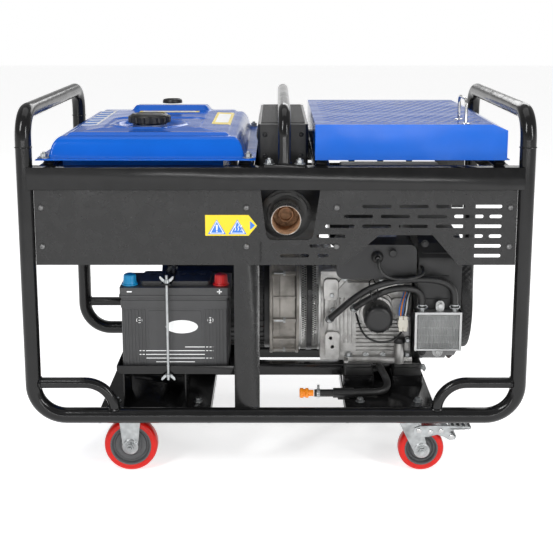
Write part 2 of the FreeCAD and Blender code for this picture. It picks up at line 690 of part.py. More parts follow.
def exhaust_outlet():
    """The open outlet pipe that looks out through the panel's notch."""
    length = "-outlet_face + muffler_y"
    return node(ring_shape("outlet_pipe", ("outlet_x", "muffler_y", "outlet_z"), "-Y",
                           "outlet_radius", "outlet_wall", length), "exhaust_outlet")


def muffler_guard():
    """A louvred sheet box between tank and cover that shields the silencer."""
    size = ("guard_right - guard_left", "420", "guard_high - guard_low")
    middle = ("(guard_left + guard_right) / 2", "0", "(guard_low + guard_high) / 2")
    block = middle_box("guard_block", middle, size)
    hollow = middle_box("guard_hollow", (middle[0], "0", "(guard_low + guard_high) / 2 - 2"),
                        ("guard_right - guard_left - 4", "416", "guard_high - guard_low"))
    slits = []
    for number in range(15):
        slits.append(middle_box(f"guard_slit_{number}", (middle[0], f"{-182 + number * 26}", "guard_high"),
                                ("84", "9", "8")))
    return node(cut("guard_louvred", block, [hollow] + slits), "muffler_guard")


# ---------------------------------------------------------------- battery
BATTERY_MIDDLE_Y = "battery_front + battery_wide / 2"


def battery():
    """A ribbed case with a heat-sealed lid, two capped poles."""
    case = middle_box("battery_block", ("battery_x", BATTERY_MIDDLE_Y, "battery_low + battery_case_high / 2"),
                      ("battery_long - 4", "battery_wide - 4", "battery_case_high"))
    ribs = []
    for number in range(7):
        x = f"battery_x + {(number - 3) * 34}"
        ribs.append(middle_box(f"battery_rib_{number}",
                               (x, BATTERY_MIDDLE_Y, "battery_low + battery_case_high / 2 - 10"),
                               ("3", "battery_wide", "battery_case_high - 24")))
    node(fuse("battery_ribbed", [case] + ribs), "battery_case")
    lid_low = "battery_low + battery_case_high"
    lid = middle_box("lid_block", ("battery_x", BATTERY_MIDDLE_Y, f"{lid_low} + battery_lid_high / 2"),
                     ("battery_long", "battery_wide", "battery_lid_high"))
    crown = middle_box("lid_crown", ("battery_x", BATTERY_MIDDLE_Y, f"{lid_low} + battery_lid_high"),
                       ("battery_long - 84", "battery_wide - 40", "12"))
    poles = []
    for name, sign in (("negative", "-"), ("positive", "+")):
        x = f"battery_x {sign} (battery_long / 2 - pole_inset)"
        y = "battery_front + 28"
        high = f"{lid_low} + battery_lid_high"
        poles.append(cylinder(name + "_pole", (x, y, high), "+Z", "8", "10"))
        brim = cylinder(name + "_cap_brim", (x, y, high), "+Z", "pole_cap_radius + 3", "4")
        dome = cone(name + "_cap_dome", (x, y, high + " + 4"), "+Z", "pole_cap_radius",
                    "pole_cap_radius - 3", "pole_cap_high - 4")
        bore = cylinder(name + "_cap_bore", (x, y, high + " - 1"), "+Z", "8.2", "11.4")
        node(cut(name + "_cap", fuse(name + "_cap_solid", [brim, dome]), [bore]), name + "_terminal_cap")
    node(fuse("lid_with_poles", [lid, crown] + poles), "battery_lid")


def battery_tray():
    """A lipped sheet tray on two upright plates."""
    long = "battery_long + 2 * tray_gap + 2 * tray_sheet"
    wide = "battery_wide + 2 * tray_gap + 2 * tray_sheet"
    low = "battery_low - tray_sheet"
    outside = middle_box("tray_block", ("battery_x", BATTERY_MIDDLE_Y, f"{low} + (tray_lip + tray_sheet) / 2"),
                         (long, wide, "tray_lip + tray_sheet"))
    inside = middle_box("tray_hollow", ("battery_x", BATTERY_MIDDLE_Y, "battery_low + 20"),
                        ("battery_long + 2 * tray_gap", "battery_wide + 2 * tray_gap", "40"))
    shell = cut("tray_shell", outside, [inside])
    plates = []
    for number, x in enumerate(("-314", "-187")):
        plates.append(middle_box(f"tray_upright_{number}", (x, "battery_front + 50", f"(base_top + {low}) / 2"),
                                 ("tray_sheet", "110", f"{low} - base_top")))
    return node(fuse("tray_welded", [shell] + plates), "battery_tray")


def battery_hold_down():
    """A strap over the battery, pulled down by a hooked rod at the front and one at the back."""
    top = "battery_low + battery_case_high + battery_lid_high + 6"
    x = "battery_x - 14"
    front = "battery_front - rod_gap - tray_gap"
    back = "battery_front + battery_wide + rod_gap + tray_gap"
    strap = box("hold_strap", (f"{x} - strap_wide / 2", f"{front} - 8", top),
                ("strap_wide", f"{back} - ({front}) + 16", "strap_thick"))
    pieces = [strap]
    for name, y in (("front", front), ("back", back)):
        pieces.append(cylinder(name + "_hold_rod", (x, y, "battery_low - 14"), "+Z", "rod_radius",
                               f"{top} + 20 - (battery_low - 14)"))
        for end, z in (("low", "battery_low - 12"), ("high", f"{top} + strap_thick")):
            pieces.append(cylinder(f"{name}_{end}_wing_hub", (x, y, z), "+Z", "5", "8"))
            pieces.append(middle_box(f"{name}_{end}_wings", (x, y, f"{z} + 6"), ("30", "2.5", "9")))
    return node(fuse("hold_down_set", pieces), "battery_hold_down")


# ---------------------------------------------------------------- alternator
def shaft_ring(name, left, right, outer, inner):
    """A sleeve about the shaft line between two X positions."""
    outside = cylinder(name + "_outside", (left, "0", "shaft_z"), "+X", outer, f"{right} - ({left})")
    bore = cylinder(name + "_bore", (f"{left} - 1", "0", "shaft_z"), "+X", inner, f"{right} - ({left}) + 2")
    return cut(name, outside, [bore])


def alternator():
    """Bell, guard, housing and stator, with the rotor on the engine's shaft line."""
    bell_skin = shaft_ring("bell_skin", "bell_left", "bell_right", "bell_radius", "bell_radius - 9")
    bell_web = shaft_ring("bell_web", "bell_left", "bell_left + 8", "bell_radius - 4", "shaft_radius + 30")
    ribs = []
    for number in range(8):
        angle = (number + 0.5) * 360 / 8
        rib = middle_box(f"bell_rib_{number}", ("(bell_left + bell_right) / 2", "0", "shaft_z"),
                         ("bell_right - bell_left", "9", "16"))
        radians = math.radians(angle)
        reach = sheet.bell_radius - 3
        rib.Placement = Placement(Vector(), Rotation(Vector(1, 0, 0), angle))
        half_y, half_z = 4.5, 8.0
        offset_y = -reach * math.sin(radians) - (half_y * math.cos(radians) - half_z * math.sin(radians))
        offset_z = reach * math.cos(radians) - (half_y * math.sin(radians) + half_z * math.cos(radians))
        rib.setExpression(".Placement.Base.x", formula("bell_left"))
        rib.setExpression(".Placement.Base.y", f"{offset_y:.4f}")
        rib.setExpression(".Placement.Base.z", formula(f"shaft_z + {offset_z:.4f}"))
        ribs.append(rib)
    node(fuse("bell_casting", [bell_skin, bell_web] + ribs), "alternator_bell")

    guard = shaft_ring("mesh_skin", "bell_right", "mesh_right", "mesh_radius", "mesh_radius - mesh_sheet")
    band = shaft_ring("mesh_band", "bell_right + 18", "bell_right + 30", "mesh_radius + 2", "mesh_radius - 1")
    node(fuse("mesh_guard_set", [guard, band]), "alternator_mesh_guard")

    barrel = shaft_ring("housing_barrel", "housing_left", "bell_left", "housing_radius",
                        "housing_radius - housing_wall")
    end = shaft_ring("housing_end", "housing_left", "housing_left + 8", "housing_radius - 2",
                     "shaft_radius + 8")
    vents = []
    for number in range(8):
        angle = number * math.tau / 8
        vents.append(cylinder(f"housing_vent_{number}",
                              ("housing_left - 5", f"{78 * math.cos(angle):.3f}",
                               f"shaft_z + {78 * math.sin(angle):.3f}"), "+X", "17", "20"))
    bearing = shaft_ring("end_bearing", "housing_left + 0", "housing_left + 14", "shaft_radius + 8",
                         "shaft_radius + axle_clearance")
    vented = cut("housing_vented", fuse("housing_solid", [barrel, end]), vents)
    node(group("housing_set", [vented, bearing]), "alternator_housing")
    node(shaft_ring("stator_rings", "stator_left", "stator_right", "housing_radius - housing_wall",
                    "stator_bore"), "stator_core")
    node(shaft_ring("rotor_drum", "stator_left", "stator_right", "rotor_radius", "shaft_radius"), "rotor")
    node(cylinder("main_shaft", ("housing_left + 2", "0", "shaft_z"), "+X", "shaft_radius",
                  "screen_left - housing_left - 2"), "crankshaft")


# ---------------------------------------------------------------- engine
def crankcase():
    """The cast case with its sump, ribs, and a bored shaft line."""
    body = middle_box("case_block", ("(mesh_right + case_right) / 2", "0", "(case_low + case_high) / 2"),
                      ("case_right - mesh_right", "2 * case_half_y", "case_high - case_low"))
    adapter = cylinder("case_adapter", ("mesh_right", "0", "shaft_z"), "+X", "mesh_radius - 6", "26")
    foot = middle_box("case_foot", ("228", "0", "case_low + 7"), ("140", "2 * case_half_y + 48", "14"))
    pads = [middle_box(f"case_rib_{number}", ("238", "0", f"{226 + number * 17}"),
                       ("104", "2 * case_half_y + 8", "4")) for number in range(3)]
    boss = cylinder("filter_boss", ("filter_x", "-case_half_y", "filter_z"), "-Y", "filter_radius + 5", "26")
    bore = cylinder("case_bore", ("mesh_right - 5", "0", "shaft_z"), "+X", "shaft_radius + axle_clearance",
                    "case_right - mesh_right + 10")
    hollow = cylinder("case_crank_space", ("mesh_right + 30", "0", "shaft_z"), "+X", "88",
                      "case_right - mesh_right - 60")
    stick_bore = cylinder("dipstick_bore", ("270", "-138", "case_low + 8"), "+Z", "5.3", "60")
    stick_boss = cylinder("dipstick_boss", ("270", "-138", "case_low"), "+Z", "11", "46")
    solid = fuse("case_solid", [body, adapter, foot, boss, stick_boss] + pads)
    return node(cut("case_casting", solid, [bore, hollow, stick_bore]), "crankcase")


def dipstick():
    """The oil level stick in its tube."""
    blade = cylinder("stick_blade", ("270", "-138", "case_low + 12"), "+Z", "5.2", "34")
    head = cylinder("stick_head", ("270", "-138", "case_low + 46.3"), "+Z", "12", "12")
    neck = cylinder("stick_neck", ("270", "-138", "case_low + 45"), "+Z", "5.2", "3")
    return node(fuse("stick", [blade, neck, head]), "dipstick")


def cylinders():
    """Two finned cylinders in a V across the shaft."""
    pieces = []
    for name, way in (("front", -1), ("rear", 1)):
        core = cylinder(name + "_barrel", ("0", "0", "0"), "+Z", "44", "110")
        parts = [core]
        for number in range(6):
            parts.append(middle_box(f"{name}_fin_{number}", ("0", "0", f"{30 + number * 13}"),
                                    ("108", "104", "3.5")))
        parts.append(middle_box(name + "_head", ("0", "0", "112"), ("100", "100", "26")))
        bank = fuse(name + "_bank_solid", parts)
        turned = document.addObject("Part::Compound", name + "_bank")
        turned.Links = [bank]
        reach = 80
        angle = 45
        turned.Placement = Placement(
            Vector(210, way * reach * math.sin(math.radians(angle)),
                   sheet.shaft_z + reach * math.cos(math.radians(angle))),
            Rotation(Vector(1, 0, 0), -way * angle))
        pieces.append(cut(name + "_cylinder", turned, [document.getObject("case_solid")]))
    return node(group("cylinder_set", pieces), "cylinders")


def engine_shrouds():
    """The black covers over the heads, and the blower housing around the flywheel."""
    walls = []
    for name, inset in (("outside", "0"), ("inside", "blower_sheet")):
        half = f"(blower_half_y - {inset})"
        low = f"blower_low + {inset}"
        corners = [(f"-{half}", f"{low} + 62"), (f"-{half} + 66", low), (f"{half} - 66", low),
                   (half, f"{low} + 62"), (half, f"blower_high - {inset} - 30"),
                   (f"{half} - 30", f"blower_high - {inset}"),
                   (f"-{half} + 30", f"blower_high - {inset}"),
                   (f"-{half}", f"blower_high - {inset} - 30")]
        walls.append(pad("blower_" + name, "YZ_Plane", corners, f"blower_right - blower_left - 2 * {inset}",
                         ("(blower_left + blower_right) / 2", "0", "0")))
    intake = cylinder("blower_intake", ("blower_left + 20", "0", "shaft_z"), "+X", "fan_radius + 3", "120")
    passage = cylinder("blower_passage", ("blower_left - 5", "0", "shaft_z"), "+X", "95", "20")
    pieces = [cut("blower_shell", walls[0], [walls[1], intake, passage])]
    for name, way in (("front", -1), ("rear", 1)):
        y_low = -205 if way < 0 else 95
        outside = box(name + "_shroud_block", ("127", f"{y_low}", "396"), ("168", "110", "76"))
        inside = box(name + "_shroud_hollow", ("130", f"{y_low + 3}", "390"), ("162", "104", "79"))
        bank = document.getObject(name + "_bank")
        pieces.append(cut(name + "_shroud", outside, [inside, bank]))
    return node(group("shroud_set", pieces), "engine_shrouds")


def flywheel_and_screen():
    """The finned flywheel and the perforated screen that turns with it."""
    disc = shaft_ring("fan_disc", "blower_left + 14", "blower_left + 30", "fan_radius", "shaft_radius")
    hub = shaft_ring("fan_hub", "blower_left + 8", "screen_left - 6", "46", "shaft_radius")
    blades = []
    for number in range(14):
        angle = number * 360 / 14
        blade = middle_box(f"fan_blade_{number}", ("0", "0", "0"), ("56", "4", "60"))
        radians = math.radians(angle)
        offset_y = -44 * math.sin(radians) - 2 * math.cos(radians)
        offset_z = 44 * math.cos(radians) - 2 * math.sin(radians)
        blade.Placement = Placement(Vector(), Rotation(Vector(1, 0, 0), angle))
        blade.setExpression(".Placement.Base.x", formula("blower_left + 26"))
        blade.setExpression(".Placement.Base.y", f"{offset_y:.4f}")
        blade.setExpression(".Placement.Base.z", formula(f"shaft_z + {offset_z:.4f}"))
        blades.append(blade)
    node(fuse("fan_wheel", [disc, hub] + blades), "flywheel_fan")
    face = cylinder("screen_face", ("screen_right - 3", "0", "shaft_z"), "+X", "screen_radius", "3")
    rim = shaft_ring("screen_rim", "screen_left", "screen_right", "screen_radius", "screen_radius - 3")
    boss = cylinder("screen_boss", ("screen_left", "0", "shaft_z"), "+X", "26",
                    "screen_right - screen_left")
    holes = []
    for circle, count in ((40, 12), (62, 18), (84, 24), (105, 30)):
        for number in range(count):
            angle = number * math.tau / count
            holes.append(cylinder(f"screen_hole_{circle}_{number}",
                                  ("screen_right - 10", f"{circle * math.cos(angle):.3f}",
                                   f"shaft_z + {circle * math.sin(angle):.3f}"), "+X", "6", "20"))
    node(cut("screen_drilled", fuse("screen_solid", [face, rim, boss]), holes), "rotating_screen")


def air_cleaner():
    """A flat oval filter housing above the cylinders."""
    block = box("cleaner_block", ("150", "-120", "510"), ("230", "240", "90"))
    return node(block, "air_cleaner")


def oil_filter():
    """A spin-on canister."""
    return node(cone("filter_can", ("filter_x", "-case_half_y - 26", "filter_z"), "-Y", "filter_radius",
                     "filter_radius - 2", "-filter_face - case_half_y - 26"), "oil_filter")


def oil_cooler():
    """A small finned radiator with two header tanks and two barbs."""
    core = box("cooler_core", ("cooler_left", "cooler_face", "cooler_low"),
               ("cooler_right - cooler_left", "cooler_deep", "cooler_high - cooler_low"))
    barbs = []
    for name, x in (("left", "cooler_left + 16"), ("right", "cooler_right - 14")):
        barbs.append(cylinder(name + "_barb", (x, "cooler_face + 15", "cooler_high"), "+Z",
                              "hose_radius - 2.5", "16"))
    lug = box("cooler_lug", ("cooler_left + 46", "cooler_face + 12", "cooler_high"), ("16", "4", "22"))
    return node(fuse("cooler_solid", [core, lug] + barbs), "oil_cooler")


def oil_hoses():
    """Two rubber hoses from the filter base to the cooler, each slipped over its barb."""
    z_barb = sheet.cooler_high + 1
    y_barb = sheet.cooler_face + 15
    left = sheet.cooler_left + 16
    right = sheet.cooler_right - 14
    long_route = [(114, -140, 288), (146, -186, 334), (188, -213, 380), (240, -216, 398),
                  (314, -214, 397), (right - 3, y_barb, 374), (right, y_barb, z_barb)]
    short_route = [(166, -160, 322), (211, -206, 360), (252, -210, 377), (292, -207, 377),
                   (left - 1, y_barb, 356), (left, y_barb, z_barb)]
    pieces = []
    for name, route, x in (("long", long_route, "cooler_right - 14"),
                           ("short", short_route, "cooler_left + 16")):
        hose = bar(name + "_hose_solid", route, 22, "hose_radius")
        barb = cylinder(name + "_hose_bore", (x, "cooler_face + 15", "cooler_high"), "+Z",
                        "hose_radius - 2.5", "16")
        pieces.append(cut(name + "_hose", hose, [barb]))
    return node(group("hose_set", pieces), "oil_hoses")


def drain_hose():
    """The oil drain hose, held in a clip on the base, with a plug in its end."""
    route = [(226, -150, 184), (236, -176, 172), (238, -198, 152), (214, -214, 152),
             (160, -216, 152), (84, -214, 150)]
    hose = bar("drain_tube", route, 14, "drain_radius")
    plug_grip = cylinder("plug_grip", ("50", "-213.5", "150"), "+X", "11", "20")
    plug_stem = cylinder("plug_stem", ("70", "-213.8", "150"), "+X", "6", "13")
    return node(group("drain_set", [hose, fuse("plug_piece", [plug_grip, plug_stem])]), "drain_hose")


def engine_mounts():
    """Rubber blocks in steel cups under the engine, and the alternator's saddle."""
    pieces = []
    for end, x in (("left", "mount_left_x"), ("right", "mount_right_x")):
        for side, way in (("front", "-"), ("rear", "")):
            y = f"{way}(-mount_front - mount_deep / 2)"
            pieces.append(middle_box(f"{end}_{side}_cup", (x, y, "base_top + mount_cup / 2"),
                                     ("mount_wide + 4", "mount_deep", "mount_cup")))
            pieces.append(middle_box(f"{end}_{side}_rubber",
                                     (x, y, "(base_top + mount_cup + case_low) / 2"),
                                     ("mount_wide - 4", "mount_deep - 6", "case_low - base_top - mount_cup")))
    saddle = box("saddle_block", ("-200", "-86", "base_top + base_rail_high"),
                 ("46", "172", "60"))
    barrel = document.getObject("housing_barrel_outside")
    pieces.append(cut("saddle", saddle, [barrel]))
    return node(group("mount_set", pieces), "engine_mounts")


def ignition_wiring():
    """The plug lead with its boot, and the harness connector beside the cooler."""
    boot = cylinder("plug_boot", ("212", "-205", "446"), "-Y", "13", "12")
    route = [(212, -217, 446), (212, -231, 440), (218, -231, 414), (246, -231, 404),
             (284, -231, 406), (309, -226, 414), (309, -sheet.blower_half_y - 0.4, 418)]
    lead = bar("plug_lead", route, 9, "3.5")
    connector = box("connector_block", ("262", "-176", "272"), ("22", "16", "38"))
    return node(group("wiring_set", [boot, connector, cut("plug_lead_fitted", lead, [boot])]),
                "ignition_wiring")


def starter_motor():
    """The electric starter on the rear of the case."""
    body = cylinder("starter_body", ("150", "case_half_y + 40", "250"), "+X", "33", "126")
    nose = cylinder("starter_nose", ("276", "case_half_y + 40", "250"), "+X", "24", "20")
    return node(fuse("starter", [body, nose]), "starter_motor")


# ---------------------------------------------------------------- casters
def wheel(label, x, y, radius):
    """A moulded tread on a hub that turns on a plain axle; treads and hub are two solids."""
    start = f"{y} - tyre_wide / 2"
    tread = ring_shape(label + "_tread", (x, start, radius), "+Y", radius, "tyre_thick", "tyre_wide")
    tread_round = document.addObject("Part::Fillet", label + "_tread_round")
    tread_round.Base = tread
    document.recompute()
    outer = [i + 1 for i, edge in enumerate(tread.Shape.Edges)
             if edge.Curve.TypeId == "Part::GeomCircle"
             and abs(edge.Curve.Radius - sheet_value(radius)) < 0.1]
    tread_round.Edges = [(i, 5.0, 5.0) for i in outer]
    rim = ring_shape(label + "_rim", (x, start + " + 1", radius), "+Y", f"{radius} - tyre_thick", "6",
                     "tyre_wide - 2")
    web = ring_shape(label + "_web", (x, f"{y} - 4", radius), "+Y", f"{radius} - tyre_thick - 5",
                     f"{radius} - tyre_thick - 5 - 10", "8")
    boss = ring_shape(label + "_boss", (x, f"{y} - tyre_wide / 2", radius), "+Y", "14",
                      "14 - axle_radius - axle_clearance", "tyre_wide")
    hub = fuse(label + "_hub", [rim, web, boss])
    return node(group(label + "_set", [tread_round, hub]), label)


def fork(name, x, axle_x, y, radius, width, plate_low):
    """Two cheeks, a crown and the axle bolt."""
    inner = "tyre_wide / 2 + fork_gap"
    pieces = []
    for side, way in (("near", "-"), ("far", "+")):
        start = f"{y} {way} ({inner})" if way == "+" else f"{y} - ({inner}) - fork_sheet"
        corners = [(f"{x} - {width} / 2", plate_low), (f"{axle_x} - 15", f"{radius} - 6"),
                   (f"{axle_x} - 8", f"{radius} - 15"), (f"{axle_x} + 8", f"{radius} - 15"),
                   (f"{axle_x} + 15", f"{radius} - 6"), (f"{x} + {width} / 2", plate_low)]
        pieces.append(pad(f"{name}_{side}_cheek", "XZ_Plane", corners, "fork_sheet",
                          ("0", f"{start} + fork_sheet / 2", "0")))
        nut_start = f"{start} + fork_sheet" if way == "+" else start
        pieces.append(cylinder(f"{name}_{side}_nut", (axle_x, nut_start, radius),
                               "+Y" if way == "+" else "-Y", "10", "6"))
    pieces.append(middle_box(name + "_crown", (x, y, f"{plate_low} - fork_sheet / 2"),
                             (width, f"tyre_wide + 2 * fork_gap + 2 * fork_sheet", "fork_sheet")))
    pieces.append(cylinder(name + "_axle", (axle_x, f"{y} - ({inner})", radius), "+Y", "axle_radius",
                           f"2 * ({inner})"))
    return fuse(name + "_welded", pieces)


def casters():
    """Rigid casters at the battery end, swivelling ones with brakes at the engine end."""
    under = "base_top - base_thick"
    mounts = []
    for side, y in (("front", "-caster_y"), ("rear", "caster_y")):
        plate_low = f"{under} - plate_thick"
        rigid = fork(side + "_rigid", "left_caster_x", "left_caster_x", y, "left_wheel_radius",
                     "fork_wide", plate_low)
        plate = middle_box(side + "_rigid_plate", ("left_caster_x", y, f"{under} - plate_thick / 2"),
                           ("94", "50", "plate_thick"))
        mounts.append(fuse(side + "_rigid_caster", [rigid, plate]))
        wheel(side + "_left_wheel", "left_caster_x", y, "left_wheel_radius")

        swivel_plate = middle_box(side + "_swivel_plate",
                                  ("right_caster_x", y, f"{under} - plate_thick / 2"),
                                  ("94", "50", "plate_thick"))
        race = cylinder(side + "_race", ("right_caster_x", y, f"{plate_low} - 10"), "+Z", "23", "10")
        mounts.append(fuse(side + "_swivel_mount", [swivel_plate, race]))
        axle_x = "right_caster_x + caster_trail"
        swivel = fork(side + "_swivel", "right_caster_x", axle_x, y, "right_wheel_radius", "fork_wide",
                      f"{plate_low} - 10.4")
        pin = cylinder(side + "_brake_pin",
                       ("right_caster_x + brake_pin_x", f"{y} - brake_pin_half", "brake_pin_z"),
                       "+Y", "brake_pin_radius", "2 * brake_pin_half")
        gap = middle_box(side + "_brake_pin_gap", ("right_caster_x + brake_pin_x", y, "brake_pin_z"),
                         ("20", "tyre_wide + 2 * fork_gap", "20"))
        node(fuse(side + "_fork_with_pins", [swivel, cut(side + "_brake_pins", pin, [gap])]),
             side + "_right_fork")
        wheel(side + "_right_wheel", axle_x, y, "right_wheel_radius")
        brake_bodies(side, axle_x, y)
    node(group("caster_mount_set", mounts), "caster_mounts")


def brake_bodies(side, axle_x, y):
    """The stamped pedal that locks a swivel caster's wheel."""
    inner = "tyre_wide / 2 + fork_gap + fork_sheet + 0.4"
    pieces = []
    for end, way in (("near", "-"), ("far", "+")):
        start = f"{y} + {inner}" if way == "+" else f"{y} - ({inner}) - 3"
        cheek = box(f"{side}_brake_{end}_cheek", ("right_caster_x + 13", start, "84"), ("83", "3", "18"))
        bore = cylinder(f"{side}_brake_{end}_bore",
                        ("right_caster_x + brake_pin_x", f"{start} - 1", "brake_pin_z"),
                        "+Y", "brake_pin_radius + axle_clearance", "5")
        pieces.append(cut(f"{side}_brake_{end}", cheek, [bore]))
    pieces.append(middle_box(side + "_brake_pedal", ("right_caster_x + 112", y, "98"),
                             ("42", f"2 * ({inner}) + 6", "4")))
    pieces.append(middle_box(side + "_brake_lip", ("right_caster_x + 93", y, "93"),
                             ("6", f"2 * ({inner}) + 6", "14")))
    return node(fuse(side + "_brake_set", pieces), side + "_right_brake")


# ---------------------------------------------------------------- control panel
CONSOLE_MIDDLE_X = "(console_left + console_right) / 2"


def control_panel():
    """The sheet box at the rear with its sockets, key switch, current dial and breaker."""
    size = ("console_right - console_left", "console_deep", "console_high - console_low")
    middle = (CONSOLE_MIDDLE_X, "console_face - console_deep / 2", "(console_low + console_high) / 2")
    block = middle_box("console_block", middle, size)
    hollow = middle_box("console_hollow", middle, [f"{length} - 2 * panel_thick" for length in size])
    window = middle_box("console_rocker_window", ("rocker_x", "console_face", "rocker_z"), ("26", "20", "42"))
    node(cut("console_shell", block, [hollow, window]), "control_box")

    face = "console_face"
    fittings = []
    for name, x, z, radius, depth in (
            ("single_socket", "-400", "400", "30", "14"), ("three_socket", "-320", "400", "33", "18"),
            ("plus_terminal", "-150", "392", "22", "24"), ("minus_terminal", "-220", "392", "22", "24")):
        outside = cylinder(name + "_outside", (x, face, z), "+Y", radius, depth)
        bore = cylinder(name + "_mouth", (x, face + " + 6", z), "+Y", f"{radius} - 9", depth)
        fittings.append(cut(name, outside, [bore]))
    bezel = middle_box("rocker_bezel_block", ("rocker_x", face + " + 4.65", "rocker_z"), ("36", "9.3", "50"))
    bezel_hole = middle_box("rocker_bezel_hole", ("rocker_x", face + " + 5", "rocker_z"), ("22", "30", "38"))
    bezel_bore = cylinder("rocker_bezel_bore", ("rocker_x - 15", face + " + 5.3", "rocker_z"), "+X",
                          "rocker_pin_radius + axle_clearance", "30")
    fittings.append(cut("rocker_bezel", bezel, [bezel_hole, bezel_bore]))
    fittings.append(box("meter_block", ("-430", face, "530"), ("92", "6", "46")))
    node(group("socket_set", fittings), "panel_sockets")

    bow = box("key_bow", ("-303", face + " + 9.3", "530"), ("6", "22", "26"))
    barrel = cylinder("key_barrel", ("-300", face + " + 0.3", "543"), "+Y", "11", "9")
    node(fuse("key_and_barrel", [barrel, bow]), "key_switch")

    skirt = cylinder("dial_skirt", ("-170", face + " + 0.3", "535"), "+Y", "dial_radius", "5")
    grip = cone("dial_grip", ("-170", face + " + 5.3", "535"), "+Y", "dial_radius - 4",
                "dial_radius - 7", "dial_high")
    node(fuse("dial", [skirt, grip]), "current_dial")

    rocker = middle_box("rocker", ("rocker_x", face + " + 5.3", "rocker_z"), ("20", "10", "34"))
    pins = cylinder("rocker_pins", ("rocker_x - 14", face + " + 5.3", "rocker_z"), "+X",
                    "rocker_pin_radius", "28")
    node(fuse("rocker_with_pins", [rocker, pins]), "main_breaker")


# ---------------------------------------------------------------- build and write
frame_tubes()
corner_braces()
top_frame()
mid_posts()
lifting_bar()
base_members()
front_panel()
rear_panel()
frame_bolts()
rubber_washers()
fuel_tank()
fuel_cap()
fuel_gauge()
fuel_tap_lever()
engine_cover()
cover_handle()
muffler()
exhaust_outlet()
muffler_guard()
battery()
battery_tray()
battery_hold_down()
alternator()
crankcase()
dipstick()
cylinders()
engine_shrouds()
flywheel_and_screen()
air_cleaner()
oil_filter()
oil_cooler()
oil_hoses()
drain_hose()
engine_mounts()
ignition_wiring()
starter_motor()
casters()
control_panel()
document.recompute()

failed = [item.Name for item in document.Objects if {"Invalid", "Error"} & set(item.State)]
for item in nodes:
    if item.Shape.isNull() or not item.Shape.isValid():
        failed.append(item.Label)
if failed:
    raise RuntimeError("these objects did not build: " + ", ".join(failed))

os.makedirs("parts", exist_ok=True)
for item in nodes:
    item.Shape.exportStep(f"parts/{item.Label}.step")
    print(f"{item.Label}: {len(item.Shape.Solids)} solids, {item.Shape.Volume / 1000:.0f} cm3")
print(len(nodes), "nodes")
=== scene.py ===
import math
import bmesh
import bpy
from mathutils import Matrix, Vector


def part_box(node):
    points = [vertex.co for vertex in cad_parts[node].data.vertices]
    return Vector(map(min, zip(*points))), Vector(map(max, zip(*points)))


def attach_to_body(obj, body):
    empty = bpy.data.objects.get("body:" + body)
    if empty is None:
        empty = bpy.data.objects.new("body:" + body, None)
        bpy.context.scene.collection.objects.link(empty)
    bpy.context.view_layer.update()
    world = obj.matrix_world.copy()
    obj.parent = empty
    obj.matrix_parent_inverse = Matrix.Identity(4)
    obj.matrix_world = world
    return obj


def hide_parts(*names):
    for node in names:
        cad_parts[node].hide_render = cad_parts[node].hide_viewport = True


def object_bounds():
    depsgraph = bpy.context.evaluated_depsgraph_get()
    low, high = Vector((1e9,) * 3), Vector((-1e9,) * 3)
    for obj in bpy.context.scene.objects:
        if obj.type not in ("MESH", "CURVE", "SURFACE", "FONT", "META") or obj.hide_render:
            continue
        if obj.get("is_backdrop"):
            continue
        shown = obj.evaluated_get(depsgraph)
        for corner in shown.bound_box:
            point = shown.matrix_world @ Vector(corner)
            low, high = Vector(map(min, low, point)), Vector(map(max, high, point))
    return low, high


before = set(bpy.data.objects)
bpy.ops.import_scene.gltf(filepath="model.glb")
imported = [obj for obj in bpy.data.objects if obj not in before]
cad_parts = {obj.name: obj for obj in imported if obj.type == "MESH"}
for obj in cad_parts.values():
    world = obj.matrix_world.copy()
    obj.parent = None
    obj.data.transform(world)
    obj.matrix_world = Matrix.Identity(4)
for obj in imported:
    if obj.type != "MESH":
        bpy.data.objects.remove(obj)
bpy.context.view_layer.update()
MM = 0.001
TURN = 2 * math.pi
X, Y, Z = Vector((1, 0, 0)), Vector((0, 1, 0)), Vector((0, 0, 1))


# ------------------------------------------------------------------ camera, floor and light
LENS_MM = 69.2
EYE = (0.0015, -2.367, 0.972)
LOOK_DOWN = math.radians(10.5)
LENS_SHIFT = -0.142
FLOOR_HALF = 14
FLOOR_GLOW = 0.62


def add_camera():
    """Eye level a little over the machine, square to its front."""
    data = bpy.data.cameras.new("camera")
    data.lens = LENS_MM
    data.sensor_width = 36
    data.shift_y = LENS_SHIFT
    camera = bpy.data.objects.new("camera", data)
    bpy.context.scene.collection.objects.link(camera)
    camera.location = EYE
    camera.rotation_euler = (math.radians(90) - LOOK_DOWN, 0, 0)
    data.clip_end = 60
    bpy.context.scene.camera = camera


def add_light(name, place, target, size, power, colour=(1, 1, 1)):
    data = bpy.data.lights.new(name, "AREA")
    data.shape = "RECTANGLE"
    data.size, data.size_y = size
    data.energy = power
    data.color = colour
    light = bpy.data.objects.new(name, data)
    bpy.context.scene.collection.objects.link(light)
    light.location = place
    light.rotation_euler = (Vector(target) - Vector(place)).to_track_quat("-Z", "Y").to_euler()


